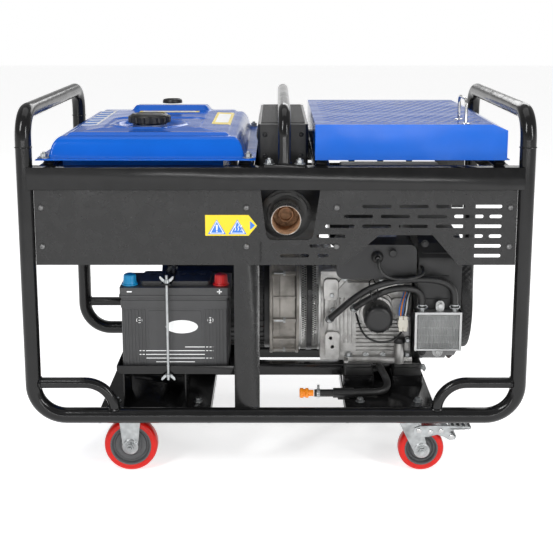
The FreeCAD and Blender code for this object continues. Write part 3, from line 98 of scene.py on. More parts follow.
def add_studio():
    """A pale floor under large soft lights."""
    mesh = bpy.data.meshes.new("floor")
    half = FLOOR_HALF
    mesh.from_pydata([(-half, -half, 0), (half, -half, 0), (half, half, 0), (-half, half, 0)], [],
                     [(0, 1, 2, 3)])
    floor = bpy.data.objects.new("floor", mesh)
    bpy.context.scene.collection.objects.link(floor)
    paint = bpy.data.materials.new("floor_white")
    paint.use_nodes = True
    shader = paint.node_tree.nodes["Principled BSDF"]
    shader.inputs["Base Color"].default_value = (0.93, 0.93, 0.93, 1)
    shader.inputs["Roughness"].default_value = 0.65
    shader.inputs["Specular IOR Level"].default_value = 0.2
    shader.inputs["Emission Color"].default_value = (1, 1, 1, 1)
    shader.inputs["Emission Strength"].default_value = FLOOR_GLOW
    mesh.materials.append(paint)
    floor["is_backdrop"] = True
    world = bpy.data.worlds.new("studio")
    world.use_nodes = True
    tree = world.node_tree
    place = tree.nodes.new("ShaderNodeTexCoord")
    parts = tree.nodes.new("ShaderNodeSeparateXYZ")
    ramp = tree.nodes.new("ShaderNodeValToRGB")
    ramp.color_ramp.elements[0].position = 0.02
    ramp.color_ramp.elements[0].color = (1, 1, 1, 1)
    ramp.color_ramp.elements[1].position = 0.16
    ramp.color_ramp.elements[1].color = (0.34, 0.34, 0.34, 1)
    tree.links.new(place.outputs["Generated"], parts.inputs["Vector"])
    tree.links.new(parts.outputs["Z"], ramp.inputs["Fac"])
    tree.links.new(ramp.outputs["Color"], tree.nodes["Background"].inputs["Color"])
    tree.nodes["Background"].inputs["Strength"].default_value = 1.0
    bpy.context.scene.world = world
    bpy.context.scene.view_settings.view_transform = "Standard"
    add_light("key_light", (-1.6, -2.4, 2.6), (0, 0, 0.4), (0.5, 1.6), 46)
    add_light("fill_light", (2.2, -2.2, 1.7), (0, 0, 0.4), (0.4, 1.6), 34)
    add_light("top_light", (0, 0.2, 3.2), (0, 0, 0.5), (2.6, 1.8), 16)
    add_light("front_strip", (0, -3.0, 0.5), (0, 0, 0.35), (3.0, 0.16), 12)
    add_light("back_light", (0.8, 2.8, 2.0), (0, 0, 0.4), (2.4, 1.2), 26)


# ------------------------------------------------------------------ materials
made_materials = {}


def material(name, colour, rough=0.5, metal=0.0, coat=0.0, mottle=0.06, mottle_scale=40,
             bump=0.0, bump_scale=900, rough_spread=0.08, second=None, second_share=0.0,
             second_scale=30, streak=None, specular=0.5, wave=0.0):
    """A surface with colour and gloss that wander, a fine bump, slow waves in the sheet, and an
    optional second colour in patches (rust, dust or wear). Scales are features per metre."""
    if name in made_materials:
        return made_materials[name]
    item = bpy.data.materials.new(name)
    item.use_nodes = True
    tree = item.node_tree
    shader = tree.nodes["Principled BSDF"]
    shader.inputs["Metallic"].default_value = metal
    shader.inputs["Coat Weight"].default_value = coat
    shader.inputs["Specular IOR Level"].default_value = specular
    shader.inputs["Coat Roughness"].default_value = 0.06
    place = tree.nodes.new("ShaderNodeTexCoord")
    source = place.outputs["Object"]
    if streak:
        stretch = tree.nodes.new("ShaderNodeMapping")
        stretch.inputs["Scale"].default_value = streak
        tree.links.new(source, stretch.inputs["Vector"])
        source = stretch.outputs["Vector"]

    def noise(scale, detail=4.0):
        node = tree.nodes.new("ShaderNodeTexNoise")
        node.inputs["Scale"].default_value = scale
        node.inputs["Detail"].default_value = detail
        tree.links.new(source, node.inputs["Vector"])
        return node.outputs["Fac"]

    def ramp(value, stops):
        node = tree.nodes.new("ShaderNodeValToRGB")
        node.color_ramp.elements[0].position, node.color_ramp.elements[1].position = stops[0][0], stops[1][0]
        node.color_ramp.elements[0].color = (*stops[0][1], 1)
        node.color_ramp.elements[1].color = (*stops[1][1], 1)
        tree.links.new(value, node.inputs["Fac"])
        return node.outputs["Color"]

    dark = tuple(c * (1 - mottle) for c in colour)
    light = tuple(min(1, c * (1 + mottle) + mottle * 0.01) for c in colour)
    base = ramp(noise(mottle_scale), [(0.3, dark), (0.7, light)])
    if second:
        patch = ramp(noise(second_scale, 8.0), [(0.62 - second_share * 0.4, (0, 0, 0)),
                                                (0.78 - second_share * 0.4, (1, 1, 1))])
        mix = tree.nodes.new("ShaderNodeMix")
        mix.data_type = "RGBA"
        tree.links.new(patch, mix.inputs["Factor"])
        tree.links.new(base, mix.inputs["A"])
        mix.inputs["B"].default_value = (*second, 1)
        base = mix.outputs["Result"]
    tree.links.new(base, shader.inputs["Base Color"])
    gloss = tree.nodes.new("ShaderNodeMapRange")
    gloss.inputs["To Min"].default_value = max(0.03, rough - rough_spread)
    gloss.inputs["To Max"].default_value = min(1, rough + rough_spread)
    tree.links.new(noise(mottle_scale * 2.3), gloss.inputs["Value"])
    tree.links.new(gloss.outputs["Result"], shader.inputs["Roughness"])
    if bump:
        lump = tree.nodes.new("ShaderNodeBump")
        lump.inputs["Strength"].default_value = bump
        lump.inputs["Distance"].default_value = 0.0006
        tree.links.new(noise(bump_scale, 3.0), lump.inputs["Height"])
        tree.links.new(lump.outputs["Normal"], shader.inputs["Normal"])
        if wave:
            slow = tree.nodes.new("ShaderNodeBump")
            slow.inputs["Strength"].default_value = wave
            slow.inputs["Distance"].default_value = 0.004
            tree.links.new(noise(11, 1.0), slow.inputs["Height"])
            tree.links.new(slow.outputs["Normal"], lump.inputs["Normal"])
    made_materials[name] = item
    return item


FRAME_BLACK = material("gloss_black_powder_coat", (0.005, 0.005, 0.0053), 0.15, specular=0.35, mottle=0.2,
                       bump=0.1, bump_scale=700, wave=0.5)
PANEL_BLACK = material("satin_black_panel", (0.01, 0.01, 0.0102), 0.24, specular=0.4, mottle=0.15,
                       bump=0.08, bump_scale=900, wave=0.7)
TANK_BLUE = material("gloss_blue_enamel", (0.003, 0.105, 0.53), 0.13, specular=0.22, mottle=0.05,
                     mottle_scale=12, bump=0.03, bump_scale=260, rough_spread=0.03, wave=0.4)
TYRE_RED = material("red_polyurethane", (0.56, 0.008, 0.004), 0.3, specular=0.3, mottle=0.06, bump=0.05,
                    rough_spread=0.06)
RIM_GREY = material("grey_nylon_rim", (0.07, 0.072, 0.075), 0.42, mottle=0.08, bump=0.1)
HUB_BLACK = material("black_nylon_hub", (0.02, 0.02, 0.02), 0.4, mottle=0.1, bump=0.1)
ZINC = material("zinc_plated_steel", (0.4, 0.415, 0.42), 0.36, metal=0.85, mottle=0.14, mottle_scale=90,
                bump=0.12, bump_scale=500, second=(0.26, 0.27, 0.275), second_share=0.3)
CHROME = material("chromed_wire", (0.5, 0.5, 0.5), 0.14, metal=1.0, mottle=0.03, rough_spread=0.03)
BOLT_DARK = material("blackened_bolt", (0.16, 0.16, 0.16), 0.3, metal=0.8, mottle=0.2, bump=0.15)
CAST = material("die_cast_aluminium", (0.4, 0.395, 0.385), 0.38, metal=0.75, mottle=0.14,
                mottle_scale=55, bump=0.35, bump_scale=1100, second=(0.24, 0.235, 0.225),
                second_share=0.25)
CAST_WARM = material("weathered_cast_bell", (0.26, 0.245, 0.225), 0.44, metal=0.6, mottle=0.16,
                     mottle_scale=35, bump=0.35, bump_scale=900, second=(0.16, 0.15, 0.135),
                     second_share=0.3)
MESH_STEEL = material("perforated_steel", (0.45, 0.45, 0.44), 0.38, metal=0.9, mottle=0.1)
PLASTIC = material("black_moulded_plastic", (0.011, 0.011, 0.0115), 0.36, specular=0.4, mottle=0.12,
                   bump=0.25, bump_scale=1800, second=(0.022, 0.022, 0.0225), second_share=0.12)
PLASTIC_SOFT = material("fine_grain_plastic", (0.014, 0.014, 0.015), 0.38, specular=0.4, mottle=0.1,
                        bump=0.3, bump_scale=2500)
RUBBER = material("hose_rubber", (0.01, 0.01, 0.01), 0.4, specular=0.45, mottle=0.15, bump=0.2,
                  bump_scale=1500, second=(0.035, 0.035, 0.035), second_share=0.15)
BATTERY_GREY = material("battery_polypropylene", (0.034, 0.0345, 0.036), 0.4, mottle=0.08, bump=0.2,
                        bump_scale=1600)
CAP_BLUE = material("blue_pole_cap", (0.006, 0.27, 0.56), 0.3, mottle=0.06, bump=0.08)
CAP_RED = material("red_pole_cap", (0.6, 0.01, 0.012), 0.3, mottle=0.06, bump=0.08)
PLUG_ORANGE = material("orange_plug", (0.9, 0.27, 0.01), 0.35, mottle=0.05, bump=0.1)
SILENCER = material("heat_proof_black", (0.014, 0.0135, 0.013), 0.42, mottle=0.25, bump=0.25,
                    bump_scale=600, second=(0.034, 0.026, 0.02), second_share=0.15)
RIM_STEEL = material("bright_pipe_rim", (0.62, 0.6, 0.57), 0.28, metal=1.0, mottle=0.15, bump=0.1)
RUST = material("rusty_pipe_bore", (0.46, 0.28, 0.16), 0.8, mottle=0.25,
                mottle_scale=120, bump=0.5, bump_scale=900, second=(0.24, 0.14, 0.085),
                second_share=0.3, second_scale=90)
FIN_SILVER = material("cooler_fins", (0.42, 0.425, 0.425), 0.34, metal=0.9, mottle=0.1, bump=0.1)
YELLOW = material("yellow_decal", (0.78, 0.58, 0.008), 0.4, mottle=0.03, rough_spread=0.04)
DECAL_BLUE = material("blue_decal", (0.02, 0.16, 0.6), 0.35, mottle=0.04, rough_spread=0.04)
DECAL_WHITE = material("white_decal", (0.85, 0.86, 0.86), 0.35, mottle=0.03, rough_spread=0.04)
CONNECTOR = material("cream_connector", (0.72, 0.69, 0.6), 0.4, mottle=0.05, bump=0.1)
LAMINATE = material("core_laminations", (0.16, 0.16, 0.17), 0.5, metal=0.7, mottle=0.15,
                    streak=(900, 1, 1), mottle_scale=2, bump=0.2, bump_scale=4)
GLASS_DARK = material("dark_display", (0.02, 0.03, 0.03), 0.08, coat=0.6, mottle=0.05)


# ------------------------------------------------------------------ mesh tools
def aim(point, axis=Z, spin=0.0):
    """A place at a point whose own Z runs along an axis."""
    turn = Vector(axis).to_track_quat("Z", "Y").to_matrix().to_4x4()
    return Matrix.Translation(Vector(point)) @ turn @ Matrix.Rotation(spin, 4, "Z")


def rectangle(left, bottom, right, top):
    """Corner points of an upright rectangle."""
    return [(left, bottom), (right, bottom), (right, top), (left, top)]


def about_shaft(x, height, angle):
    """A place on the shaft line, turned about it."""
    return Matrix.Translation((x, 0, height)) @ Matrix.Rotation(angle, 4, "X")


class Builder:
    """Collects closed forms, in millimetres, into one mesh."""

    def __init__(self):
        self.mesh = bmesh.new()

    def lathe(self, profile, place, segments=48, closed=False):
        """Turn (radius, height) points about the place's own Z."""
        rings = []
        for radius, height in profile:
            if radius < 1e-7:
                rings.append([self.mesh.verts.new(place @ Vector((0, 0, height)))])
                continue
            ring = []
            for step in range(segments):
                angle = TURN * step / segments
                point = Vector((radius * math.cos(angle), radius * math.sin(angle), height))
                ring.append(self.mesh.verts.new(place @ point))
            rings.append(ring)
        pairs = list(zip(rings, rings[1:])) + ([(rings[-1], rings[0])] if closed else [])
        for one, two in pairs:
            for step in range(segments):
                following = (step + 1) % segments
                corners = [one[step % len(one)], one[following % len(one)],
                           two[following % len(two)], two[step % len(two)]]
                unique = list(dict.fromkeys(corners))
                if len(unique) > 2:
                    self.mesh.faces.new(unique)
        if not closed:
            for ring, flip in ((rings[0], True), (rings[-1], False)):
                if len(ring) > 2:
                    self.mesh.faces.new(ring[::-1] if flip else ring)
        return self

    def sleeve(self, inner, outer, bottom, top, place, segments=48):
        """A round sleeve between two radii and two heights."""
        return self.lathe(rectangle(inner, bottom, outer, top), place, segments, closed=True)

    def prism(self, outline, depth, place):
        """Push a flat outline along the place's own Z."""
        low = [self.mesh.verts.new(place @ Vector((x, y, 0))) for x, y in outline]
        high = [self.mesh.verts.new(place @ Vector((x, y, depth))) for x, y in outline]
        self.mesh.faces.new(low[::-1])
        self.mesh.faces.new(high)
        count = len(outline)
        for step in range(count):
            following = (step + 1) % count
            self.mesh.faces.new([low[step], low[following], high[following], high[step]])
        return self

    def block(self, low, high):
        low, high = Vector(low), Vector(high)
        outline = rectangle(low.x, low.y, high.x, high.y)
        return self.prism(outline, high.z - low.z, raised(low.z))

    def tube(self, points, radius, segments=14):
        """A round bar through points, with mitred joints."""
        points = [Vector(point) for point in points]
        rings = []
        normal = None
        for step, point in enumerate(points):
            before = points[max(step - 1, 0)]
            after = points[min(step + 1, len(points) - 1)]
            along = (after - before).normalized()
            if normal is None:
                normal = along.orthogonal().normalized()
            normal = (normal - along * normal.dot(along)).normalized()
            side = along.cross(normal)
            rings.append([self.mesh.verts.new(point + (normal * math.cos(TURN * s / segments)
                                                      + side * math.sin(TURN * s / segments)) * radius)
                          for s in range(segments)])
        for one, two in zip(rings, rings[1:]):
            for s in range(segments):
                t = (s + 1) % segments
                self.mesh.faces.new([one[s], one[t], two[t], two[s]])
        self.mesh.faces.new(rings[0][::-1])
        self.mesh.faces.new(rings[-1])
        return self

    def done(self, name, body, paint, slot=None, replaces=(), bevel=0.0, segments=2, smooth=35):
        """Turn the collected forms into a piece that rides on a body."""
        bmesh.ops.recalc_face_normals(self.mesh, faces=self.mesh.faces)
        bmesh.ops.scale(self.mesh, vec=(MM, MM, MM), verts=self.mesh.verts)
        mesh = bpy.data.meshes.new(name)
        self.mesh.to_mesh(mesh)
        self.mesh.free()
        return dress(mesh, name, body, paint, slot, replaces, bevel, segments, smooth)


def dress(mesh, name, body, paint, slot=None, replaces=(), bevel=0.0, segments=2, smooth=35):
    """Give a mesh its material, its edges and its body."""
    piece = bpy.data.objects.new(name, mesh)
    bpy.context.scene.collection.objects.link(piece)
    mesh.materials.append(paint)
    mesh.shade_smooth()
    mesh.set_sharp_from_angle(angle=math.radians(smooth))
    if bevel:
        edges = piece.modifiers.new("edges", "BEVEL")
        edges.width = bevel * MM
        edges.segments = segments
        edges.limit_method = "ANGLE"
        edges.angle_limit = math.radians(32)
        edges.use_clamp_overlap = True
        edges.harden_normals = True
    return attach(piece, body, slot, replaces)


def attach(piece, body, slot, replaces):
    """Hang a piece on its body and hide the CAD nodes it replaces; the slot is not used."""
    if replaces:
        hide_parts(*replaces)
    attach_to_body(piece, body)
    return piece


def smooth_cord(name, points, radius, body, paint, slot=None, replaces=()):
    """A hose or lead on one smooth curve."""
    data = bpy.data.curves.new(name, "CURVE")
    data.dimensions = "3D"
    data.bevel_depth = radius * MM
    data.bevel_resolution = 6
    data.use_fill_caps = True
    data.resolution_u = 10
    spline = data.splines.new("NURBS")
    spline.points.add(len(points) - 1)
    for item, point in zip(spline.points, points):
        item.co = (*(Vector(point) * MM), 1)
    spline.order_u = 4
    spline.use_endpoint_u = True
    data.materials.append(paint)
    piece = bpy.data.objects.new(name, data)
    bpy.context.scene.collection.objects.link(piece)
    return attach(piece, body, slot, replaces)


def refine(node, paint, bevel=0.0):
    """Give a CAD node its material and softened edges."""
    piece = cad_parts[node]
    piece.data.materials.clear()
    piece.data.materials.append(paint)
    if bevel:
        weld = piece.modifiers.new("weld", "WELD")
        weld.merge_threshold = 0.00001
        edges = piece.modifiers.new("edges", "BEVEL")
        edges.width = bevel * MM
        edges.segments = 2
        edges.limit_method = "ANGLE"
        edges.angle_limit = math.radians(40)
        edges.harden_normals = True
        piece.data.shade_smooth()
        piece.data.set_sharp_from_angle(angle=math.radians(30))
    return piece


def hex_bolt(builder, point, axis, across=10, height=6, washer=9):
    """A hexagon head on a washer."""
    place = aim(point, axis)
    builder.lathe([(0, 0), (washer, 0), (washer, 1.2), (washer - 0.6, 1.6), (0, 1.6)], place, 24)
    corner = across / 2 / math.cos(math.pi / 6)
    builder.lathe([(0, 1.6), (corner, 1.6), (corner, height - 0.8), (corner - 0.9, height), (0, height)],
                  place, 6)
    return builder


def dome_bolt(builder, point, axis, radius=7, height=4.6):
    """A button head with a socket."""
    place = aim(point, axis)
    socket = radius * 0.42
    profile = [(0, 0), (radius, 0)]
    for step in range(1, 7):
        angle = math.pi / 2 * step / 7
        profile.append((socket + (radius - socket) * math.cos(angle), height * math.sin(angle)))
    profile += [(socket, height), (socket * 0.9, height * 0.45), (0, height * 0.45)]
    builder.lathe(profile, place, 24)
    return builder


def low(node):
    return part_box(node)[0] / MM


def high(node):
    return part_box(node)[1] / MM


def middle(node):
    return (low(node) + high(node)) / 2


def islands(node):
    """Lowest and highest corner, in millimetres, of each separate solid in a CAD node."""
    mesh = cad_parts[node].data
    parent = {}

    def root(key):
        while parent[key] != key:
            parent[key] = parent[parent[key]]
            key = parent[key]
        return key

    keys = [tuple(round(c / MM, 2) for c in vertex.co) for vertex in mesh.vertices]
    for key in keys:
        parent.setdefault(key, key)
    for polygon in mesh.polygons:
        corners = [root(keys[index]) for index in polygon.vertices]
        for key in corners[1:]:
            parent[root(key)] = root(corners[0])
    boxes = {}
    for key in parent:
        boxes.setdefault(root(key), []).append(Vector(key))
    result = []
    for points in boxes.values():
        result.append((Vector(map(min, *points)), Vector(map(max, *points))))
    return sorted(result, key=lambda pair: tuple(pair[0]))


def rounded_outline(left, low_edge, right, high_edge, radius, steps=6):
    """Corner points of a rectangle with round corners."""
    points = []
    for cx, cy, start in ((right - radius, low_edge + radius, -90),
                          (right - radius, high_edge - radius, 0),
                          (left + radius, high_edge - radius, 90),
                          (left + radius, low_edge + radius, 180)):
        for step in range(steps + 1):
            angle = math.radians(start + 90 * step / steps)
            points.append((cx + radius * math.cos(angle), cy + radius * math.sin(angle)))
    return points


FACING_FRONT = Matrix(((1, 0, 0, 0), (0, 0, -1, 0), (0, 1, 0, 0), (0, 0, 0, 1)))
FACING_REAR = Matrix(((1, 0, 0, 0), (0, 0, 1, 0), (0, 1, 0, 0), (0, 0, 0, 1)))
FACING_RIGHT = Matrix(((0, 0, 1, 0), (1, 0, 0, 0), (0, 1, 0, 0), (0, 0, 0, 1)))
ALONG_SHAFT = Matrix(((0, 0, 1, 0), (0, 1, 0, 0), (1, 0, 0, 0), (0, 0, 0, 1)))


def raised(z):
    """A place at a height, with outlines drawn in X and Y."""
    return Matrix.Translation((0, 0, z))


def on_front(y):
    """A place where outlines are drawn in X and Z, and depth runs to -Y."""
    return Matrix.Translation((0, y, 0)) @ FACING_FRONT


def on_rear(y):
    """A place where outlines are drawn in X and Z, and depth runs to +Y."""
    return Matrix.Translation((0, y, 0)) @ FACING_REAR


def on_right(x):
    """A place where outlines are drawn in Y and Z, and depth runs to +X."""
    return Matrix.Translation((x, 0, 0)) @ FACING_RIGHT


def lattice(builder, radius, left, right, centre_z, count, turn, wire):
    """Two crossing sets of slanting wires round a cylinder along X."""
    for way in (-1, 1):
        for number in range(count):
            start = TURN * number / count
            points = []
            for step in range(9):
                angle = start + way * turn * step / 8
                points.append((left + (right - left) * step / 8, radius * math.sin(angle),
                               centre_z + radius * math.cos(angle)))
            builder.tube(points, wire, 5)
    return builder


add_camera()
add_studio()


# ------------------------------------------------------------------ finish of the CAD's own nodes
FINISH = {
    "frame_tubes": (FRAME_BLACK, 0), "corner_braces": (FRAME_BLACK, 0),
    "top_frame": (FRAME_BLACK, 2.2), "mid_posts": (PANEL_BLACK, 1.8),
    "lifting_bar": (FRAME_BLACK, 0.6), "base_members": (FRAME_BLACK, 1.5),
    "front_panel": (PANEL_BLACK, 0), "rear_panel": (PANEL_BLACK, 0),
    "rubber_washers": (RUBBER, 1), "fuel_tank_bottom": (TANK_BLUE, 0.8),
    "fuel_tap_lever": (ZINC, 0.8), "engine_cover": (TANK_BLUE, 0),
    "muffler": (SILENCER, 1.2), "battery_tray": (FRAME_BLACK, 0.6),
    "alternator_housing": (PLASTIC, 1.5), "stator_core": (LAMINATE, 0.5),
    "rotor": (LAMINATE, 0.8), "crankshaft": (ZINC, 1), "dipstick": (PLASTIC, 1),
    "cylinders": (CAST, 0.8), "flywheel_fan": (CAST, 0.6), "air_cleaner": (PLASTIC, 6),
    "engine_mounts": (RUBBER, 2), "starter_motor": (BOLT_DARK, 1.5),
    "control_box": (PANEL_BLACK, 1.5), "current_dial": (PLASTIC_SOFT, 1),
    "key_switch": (CHROME, 0.8), "main_breaker": (CAP_RED, 1),
    "panel_sockets": (PLASTIC, 1.2), "caster_mounts": (ZINC, 0.6),
    "front_right_fork": (ZINC, 0.6), "rear_right_fork": (ZINC, 0.6),
    "crankcase": (CAST, 2), "engine_shrouds": (PLASTIC, 3),
}
for name, (paint, bevel) in FINISH.items():
    refine(name, paint, bevel)


# ------------------------------------------------------------------ wheels and casters
def wheel(node):
    """A red tread on a grey stepped rim with a black hub."""
    centre = middle(node)
    outer = (high(node).z - low(node).z) / 2
    inner = outer - 13
    place = aim(centre, Y)
    crown = [(inner, -15), (inner + 2, -15.8), (outer - 7, -15.8), (outer - 3.4, -14.6),
             (outer - 1, -11.4),
             (outer - 0.1, -7), (outer - 0.1, 7), (outer - 1, 11.4), (outer - 3.4, 14.6),
             (outer - 7, 15.8), (inner + 2, 15.8), (inner, 15)]
    Builder().lathe(crown, place, 96, closed=True).done(node + "_tread", node, TYRE_RED, "tyre_red",
                                                        (node,), smooth=50)
    rim = Builder()
    web = inner - 7
    rim.lathe([(inner, -15.4), (inner - 2.5, -15.8), (inner - 4.5, -14), (web + 1, -9), (web - 2, -8.5),
               (web - 4, -11), (24, -9.5), (21, -12.5), (16, -12.5), (16, 12.5), (21, 12.5), (24, 9.5),
               (web - 4, 11), (web - 2, 8.5), (web + 1, 9), (inner - 4.5, 14), (inner - 2.5, 15.8),
               (inner, 15.4)], place, 96, closed=True)
    rim.done(node + "_rim", node, RIM_GREY, None, bevel=0.5)
    hub = Builder()
    hub.lathe([(6.2, -15.6), (11, -15.9), (14.5, -14.5), (16.6, -9), (16.6, 9), (14.5, 14.5), (11, 15.9),
               (6.2, 15.6)], place, 48, closed=True)
    hub.done(node + "_hub", node, HUB_BLACK, None, bevel=0.4)


def axle_end(builder, point, way):
    """A washer, a lock nut and the bolt's end."""
    axis = Vector((0, way, 0))
    hex_bolt(builder, point, axis, 16, 8.5, 12)
    builder.lathe([(0, 8), (4.6, 8), (4.6, 11.4), (3.8, 12.2), (0, 12.2)], aim(point, axis), 24)


def caster_dressing(side):
    """Nuts, stampings, ball race and plate bolts on both casters of one side."""
    plate_top = high("caster_mounts").z
    for end, node in (("left", f"{side}_left_wheel"), ("right", f"{side}_right_wheel")):
        centre = middle(node)
        body = "chassis" if end == "left" else f"{side}_right_fork"
        metal = Builder()
        for face in (-1, 1):
            cheek = Vector((centre.x, centre.y + face * 21.5, centre.z))
            metal.lathe([(0, 0), (17, 0), (15.5, 1.6), (12, 2.6), (0, 2.6)], aim(cheek, (0, face, 0)), 40)
            axle_end(metal, cheek + Vector((0, face * 2.6, 0)), face)
        if end == "left":
            for face in (-1, 1):
                arch = [(-15, 12), (-17, 40), (-18, 66), (18, 66), (17, 40), (15, 12), (8, 18), (-8, 18)]
                place = Matrix.Translation(centre + Vector((0, face * 21.5, 0)))
                place = place @ (FACING_FRONT if face < 0 else FACING_REAR)
                metal.prism(arch, 1.6, place)
        metal.done(f"{side}_{end}_axle_fittings", body, ZINC, "zinc", bevel=0.5)
    race = Builder()
    swivel = Vector((275, middle(f"{side}_right_wheel").y, 121))
    race.lathe([(14, -0.2), (26, 0), (27.5, 2.5), (26.5, 5), (23.6, 6.5), (23.6, 8), (26.5, 9.3),
                (14, 9.8)], aim(swivel, Z), 56, closed=True)
    for plate in (swivel.x, middle(f"{side}_left_wheel").x):
        for across in (-37, 37):
            for along in (-16, 16):
                hex_bolt(race, (plate + across, swivel.y + along, plate_top - 4), -Z, 10, 6, 8)
    race.done(side + "_caster_plate_fittings", "chassis", ZINC, "zinc", bevel=0.4)
    brake_pedals(side)


def brake_pedals(side):
    """Two stamped cheeks on rivets, with a lower lever and an upper pedal between them."""
    node = f"{side}_right_brake"
    start, end = low(node), high(node)
    metal = Builder()
    right = end.x
    cheek = [(286, 88), (290, 80), (300, 77), (318, 79), (336, 84), (350, 79), (362, 72), (372, 74),
             (370, 82),
             (362, 90), (372, 94), (392, 95), (right - 3, 97), (right - 3, 101), (372, 103), (330, 104),
             (300, 103), (289, 99)]
    for face in (-1, 1):
        edge = start.y + 3 if face < 0 else end.y - 3
        metal.prism(cheek, 3, on_front(edge) if face < 0 else on_rear(edge))
    wave = []
    for step in range(9):
        wave.append((right - 46 + step * 5.6, 99 + 1.3 * math.cos(step * math.pi)))
    pedal = wave + [(x, z - 3) for x, z in reversed(wave)]
    metal.prism(pedal, end.y - start.y, on_rear(start.y))
    metal.prism([(352, 82), (362, 70), (374, 72), (377, 78), (372, 79), (364, 76), (356, 86)],
                end.y - start.y - 8, on_rear(start.y + 4))
    metal.done(side + "_brake_stamping", node, ZINC, "zinc", (node,), bevel=0.7)
    rivets = Builder()
    for face in (-1, 1):
        edge = start.y if face < 0 else end.y
        for x, z in ((298, 93), (322, 90), (344, 93), (366, 80)):
            rivets.lathe([(0, 0), (5.4, 0), (5, 1.4), (2.5, 2.4), (0, 2.4)],
                         aim((x, edge, z), (0, face, 0)), 24)
    rivets.done(side + "_brake_rivets", node, CHROME, "zinc")


for node_name in ("front_left_wheel", "rear_left_wheel", "front_right_wheel", "rear_right_wheel"):
    wheel(node_name)
caster_dressing("front")
caster_dressing("rear")


# ------------------------------------------------------------------ battery
def battery():
    case_low, case_high = low("battery_case"), high("battery_case")
    left, right, front, back = case_low.x + 1, case_high.x - 1, case_low.y + 1.5, case_high.y - 1.5
    case = Builder()
    case.prism(rounded_outline(left + 1.5, front + 1.5, right - 1.5, back - 1.5, 5),
               case_high.z - case_low.z, raised(case_low.z))
    case.prism(rounded_outline(left, front, right, back, 6), 16,
               raised(case_high.z - 22))
    for face, y in ((-1, front + 1.6), (1, back - 1.6)):
        place = on_front(y) if face < 0 else on_rear(y)
        for number in range(7):
            for side in (-1, 1):
                x = (left + right) / 2 + side * (62 + number * 7)
                case.prism(rectangle(x - 1.5, case_low.z + 8, x + 1.5, case_high.z - 26), 1.6, place)
        case.prism(rounded_outline(left + 56, case_low.z + 8, right - 56, case_high.z - 28, 4), 1.0,
                   place)
        case.prism(rounded_outline(left + 6, case_low.z + 1, right - 6, case_low.z + 5, 1.5), 1.6, place)
    case.done("battery_case_body", "chassis", BATTERY_GREY, "battery_grey", ("battery_case",), bevel=0.7)
    lid = Builder()
    base = case_high.z
    lid_low, lid_high = low("battery_lid"), high("battery_lid")
    lid.prism(rounded_outline(lid_low.x, lid_low.y, lid_high.x, lid_high.y, 6), 5, raised(base))
    lid.prism(rounded_outline(lid_low.x + 1.2, lid_low.y + 1.2, lid_high.x - 1.2, lid_high.y - 1.2, 6),
              15.6, raised(base + 5))
    lid.prism(rounded_outline(lid_low.x + 42, lid_low.y + 20, lid_high.x - 42, lid_high.y - 20, 8), 9.5,
              raised(base + 20))
    for number in range(6):
        x = lid_low.x + 60 + number * (lid_high.x - lid_low.x - 120) / 5
        lid.lathe([(0, 0), (8.4, 0), (8, 1.2), (2.2, 1.2), (2, 0.4), (0, 0.4)],
                  aim((x, middle("battery_lid").y + 20, base + 29.5), Z), 28)
    lid.done("battery_lid_moulding", "chassis", BATTERY_GREY, "battery_grey", ("battery_lid",), bevel=0.9)
    marks = Builder()
    for x, plus in ((lid_low.x + 22, False), (lid_high.x - 22, True)):
        z = base + 12.5
        bars = [(-5, -1.2, 5, 1.2)] + ([(-1.2, -5, 1.2, 5)] if plus else [])
        for a, b, c, d in bars:
            marks.prism(rectangle(x + a, z + b, x + c, z + d), 0.5, on_front(lid_low.y + 1.3))
    centre, face = (left + right) / 2, on_front(front + 0.6)
    for x, plus in ((left + 38, False), (right - 38, True)):
        spot = aim((x, front + 0.6, case_high.z - 48), -Y)
        marks.sleeve(5, 6, 0, 0.5, spot, 32)
        for a, b in [(3.4, 0.6)] + ([(0.6, 3.4)] if plus else []):
            marks.prism(rectangle(x - a, case_high.z - 48 - b, x + a, case_high.z - 48 + b), 0.5, face)
    oval = [(centre + 14 + 33 * math.cos(TURN * step / 48),
             case_high.z - 62 + 14 * math.sin(TURN * step / 48))
            for step in range(48)]
    marks.prism(oval, 0.5, face)
    for number, (a, b) in enumerate(((20, 78), (-74, 78), (-74, 62), (-60, 78), (-40, 40))):
        z = case_low.z + 52 - number * 8
        marks.prism(rectangle(centre + a, z, centre + b, z + 1.4), 0.5, face)
    marks.done("battery_pole_marks", "chassis", DECAL_WHITE, "battery_grey")
    for name, paint, slot in (("negative", CAP_BLUE, "cap_blue"), ("positive", CAP_RED, "cap_red")):
        node = name + "_terminal_cap"
        centre, foot = middle(node), low(node).z
        cap = Builder()
        cap.lathe([(0, 0), (16.8, 0), (17, 1), (16.4, 2.6), (14.4, 3.4), (13.6, 5), (12.8, 19),
                   (11.6, 21.5), (8, 23.4), (0, 23.8)], aim((centre.x, centre.y, foot), Z), 48)
        for number in range(18):
            angle = TURN * number / 18
            x, y = centre.x + 12.9 * math.cos(angle), centre.y + 12.9 * math.sin(angle)
            cap.tube([(x, y, foot + 4), (x - math.cos(angle), y - math.sin(angle), foot + 20)], 1.1, 6)
        cap.done(node + "_moulding", "chassis", paint, slot, (node,))


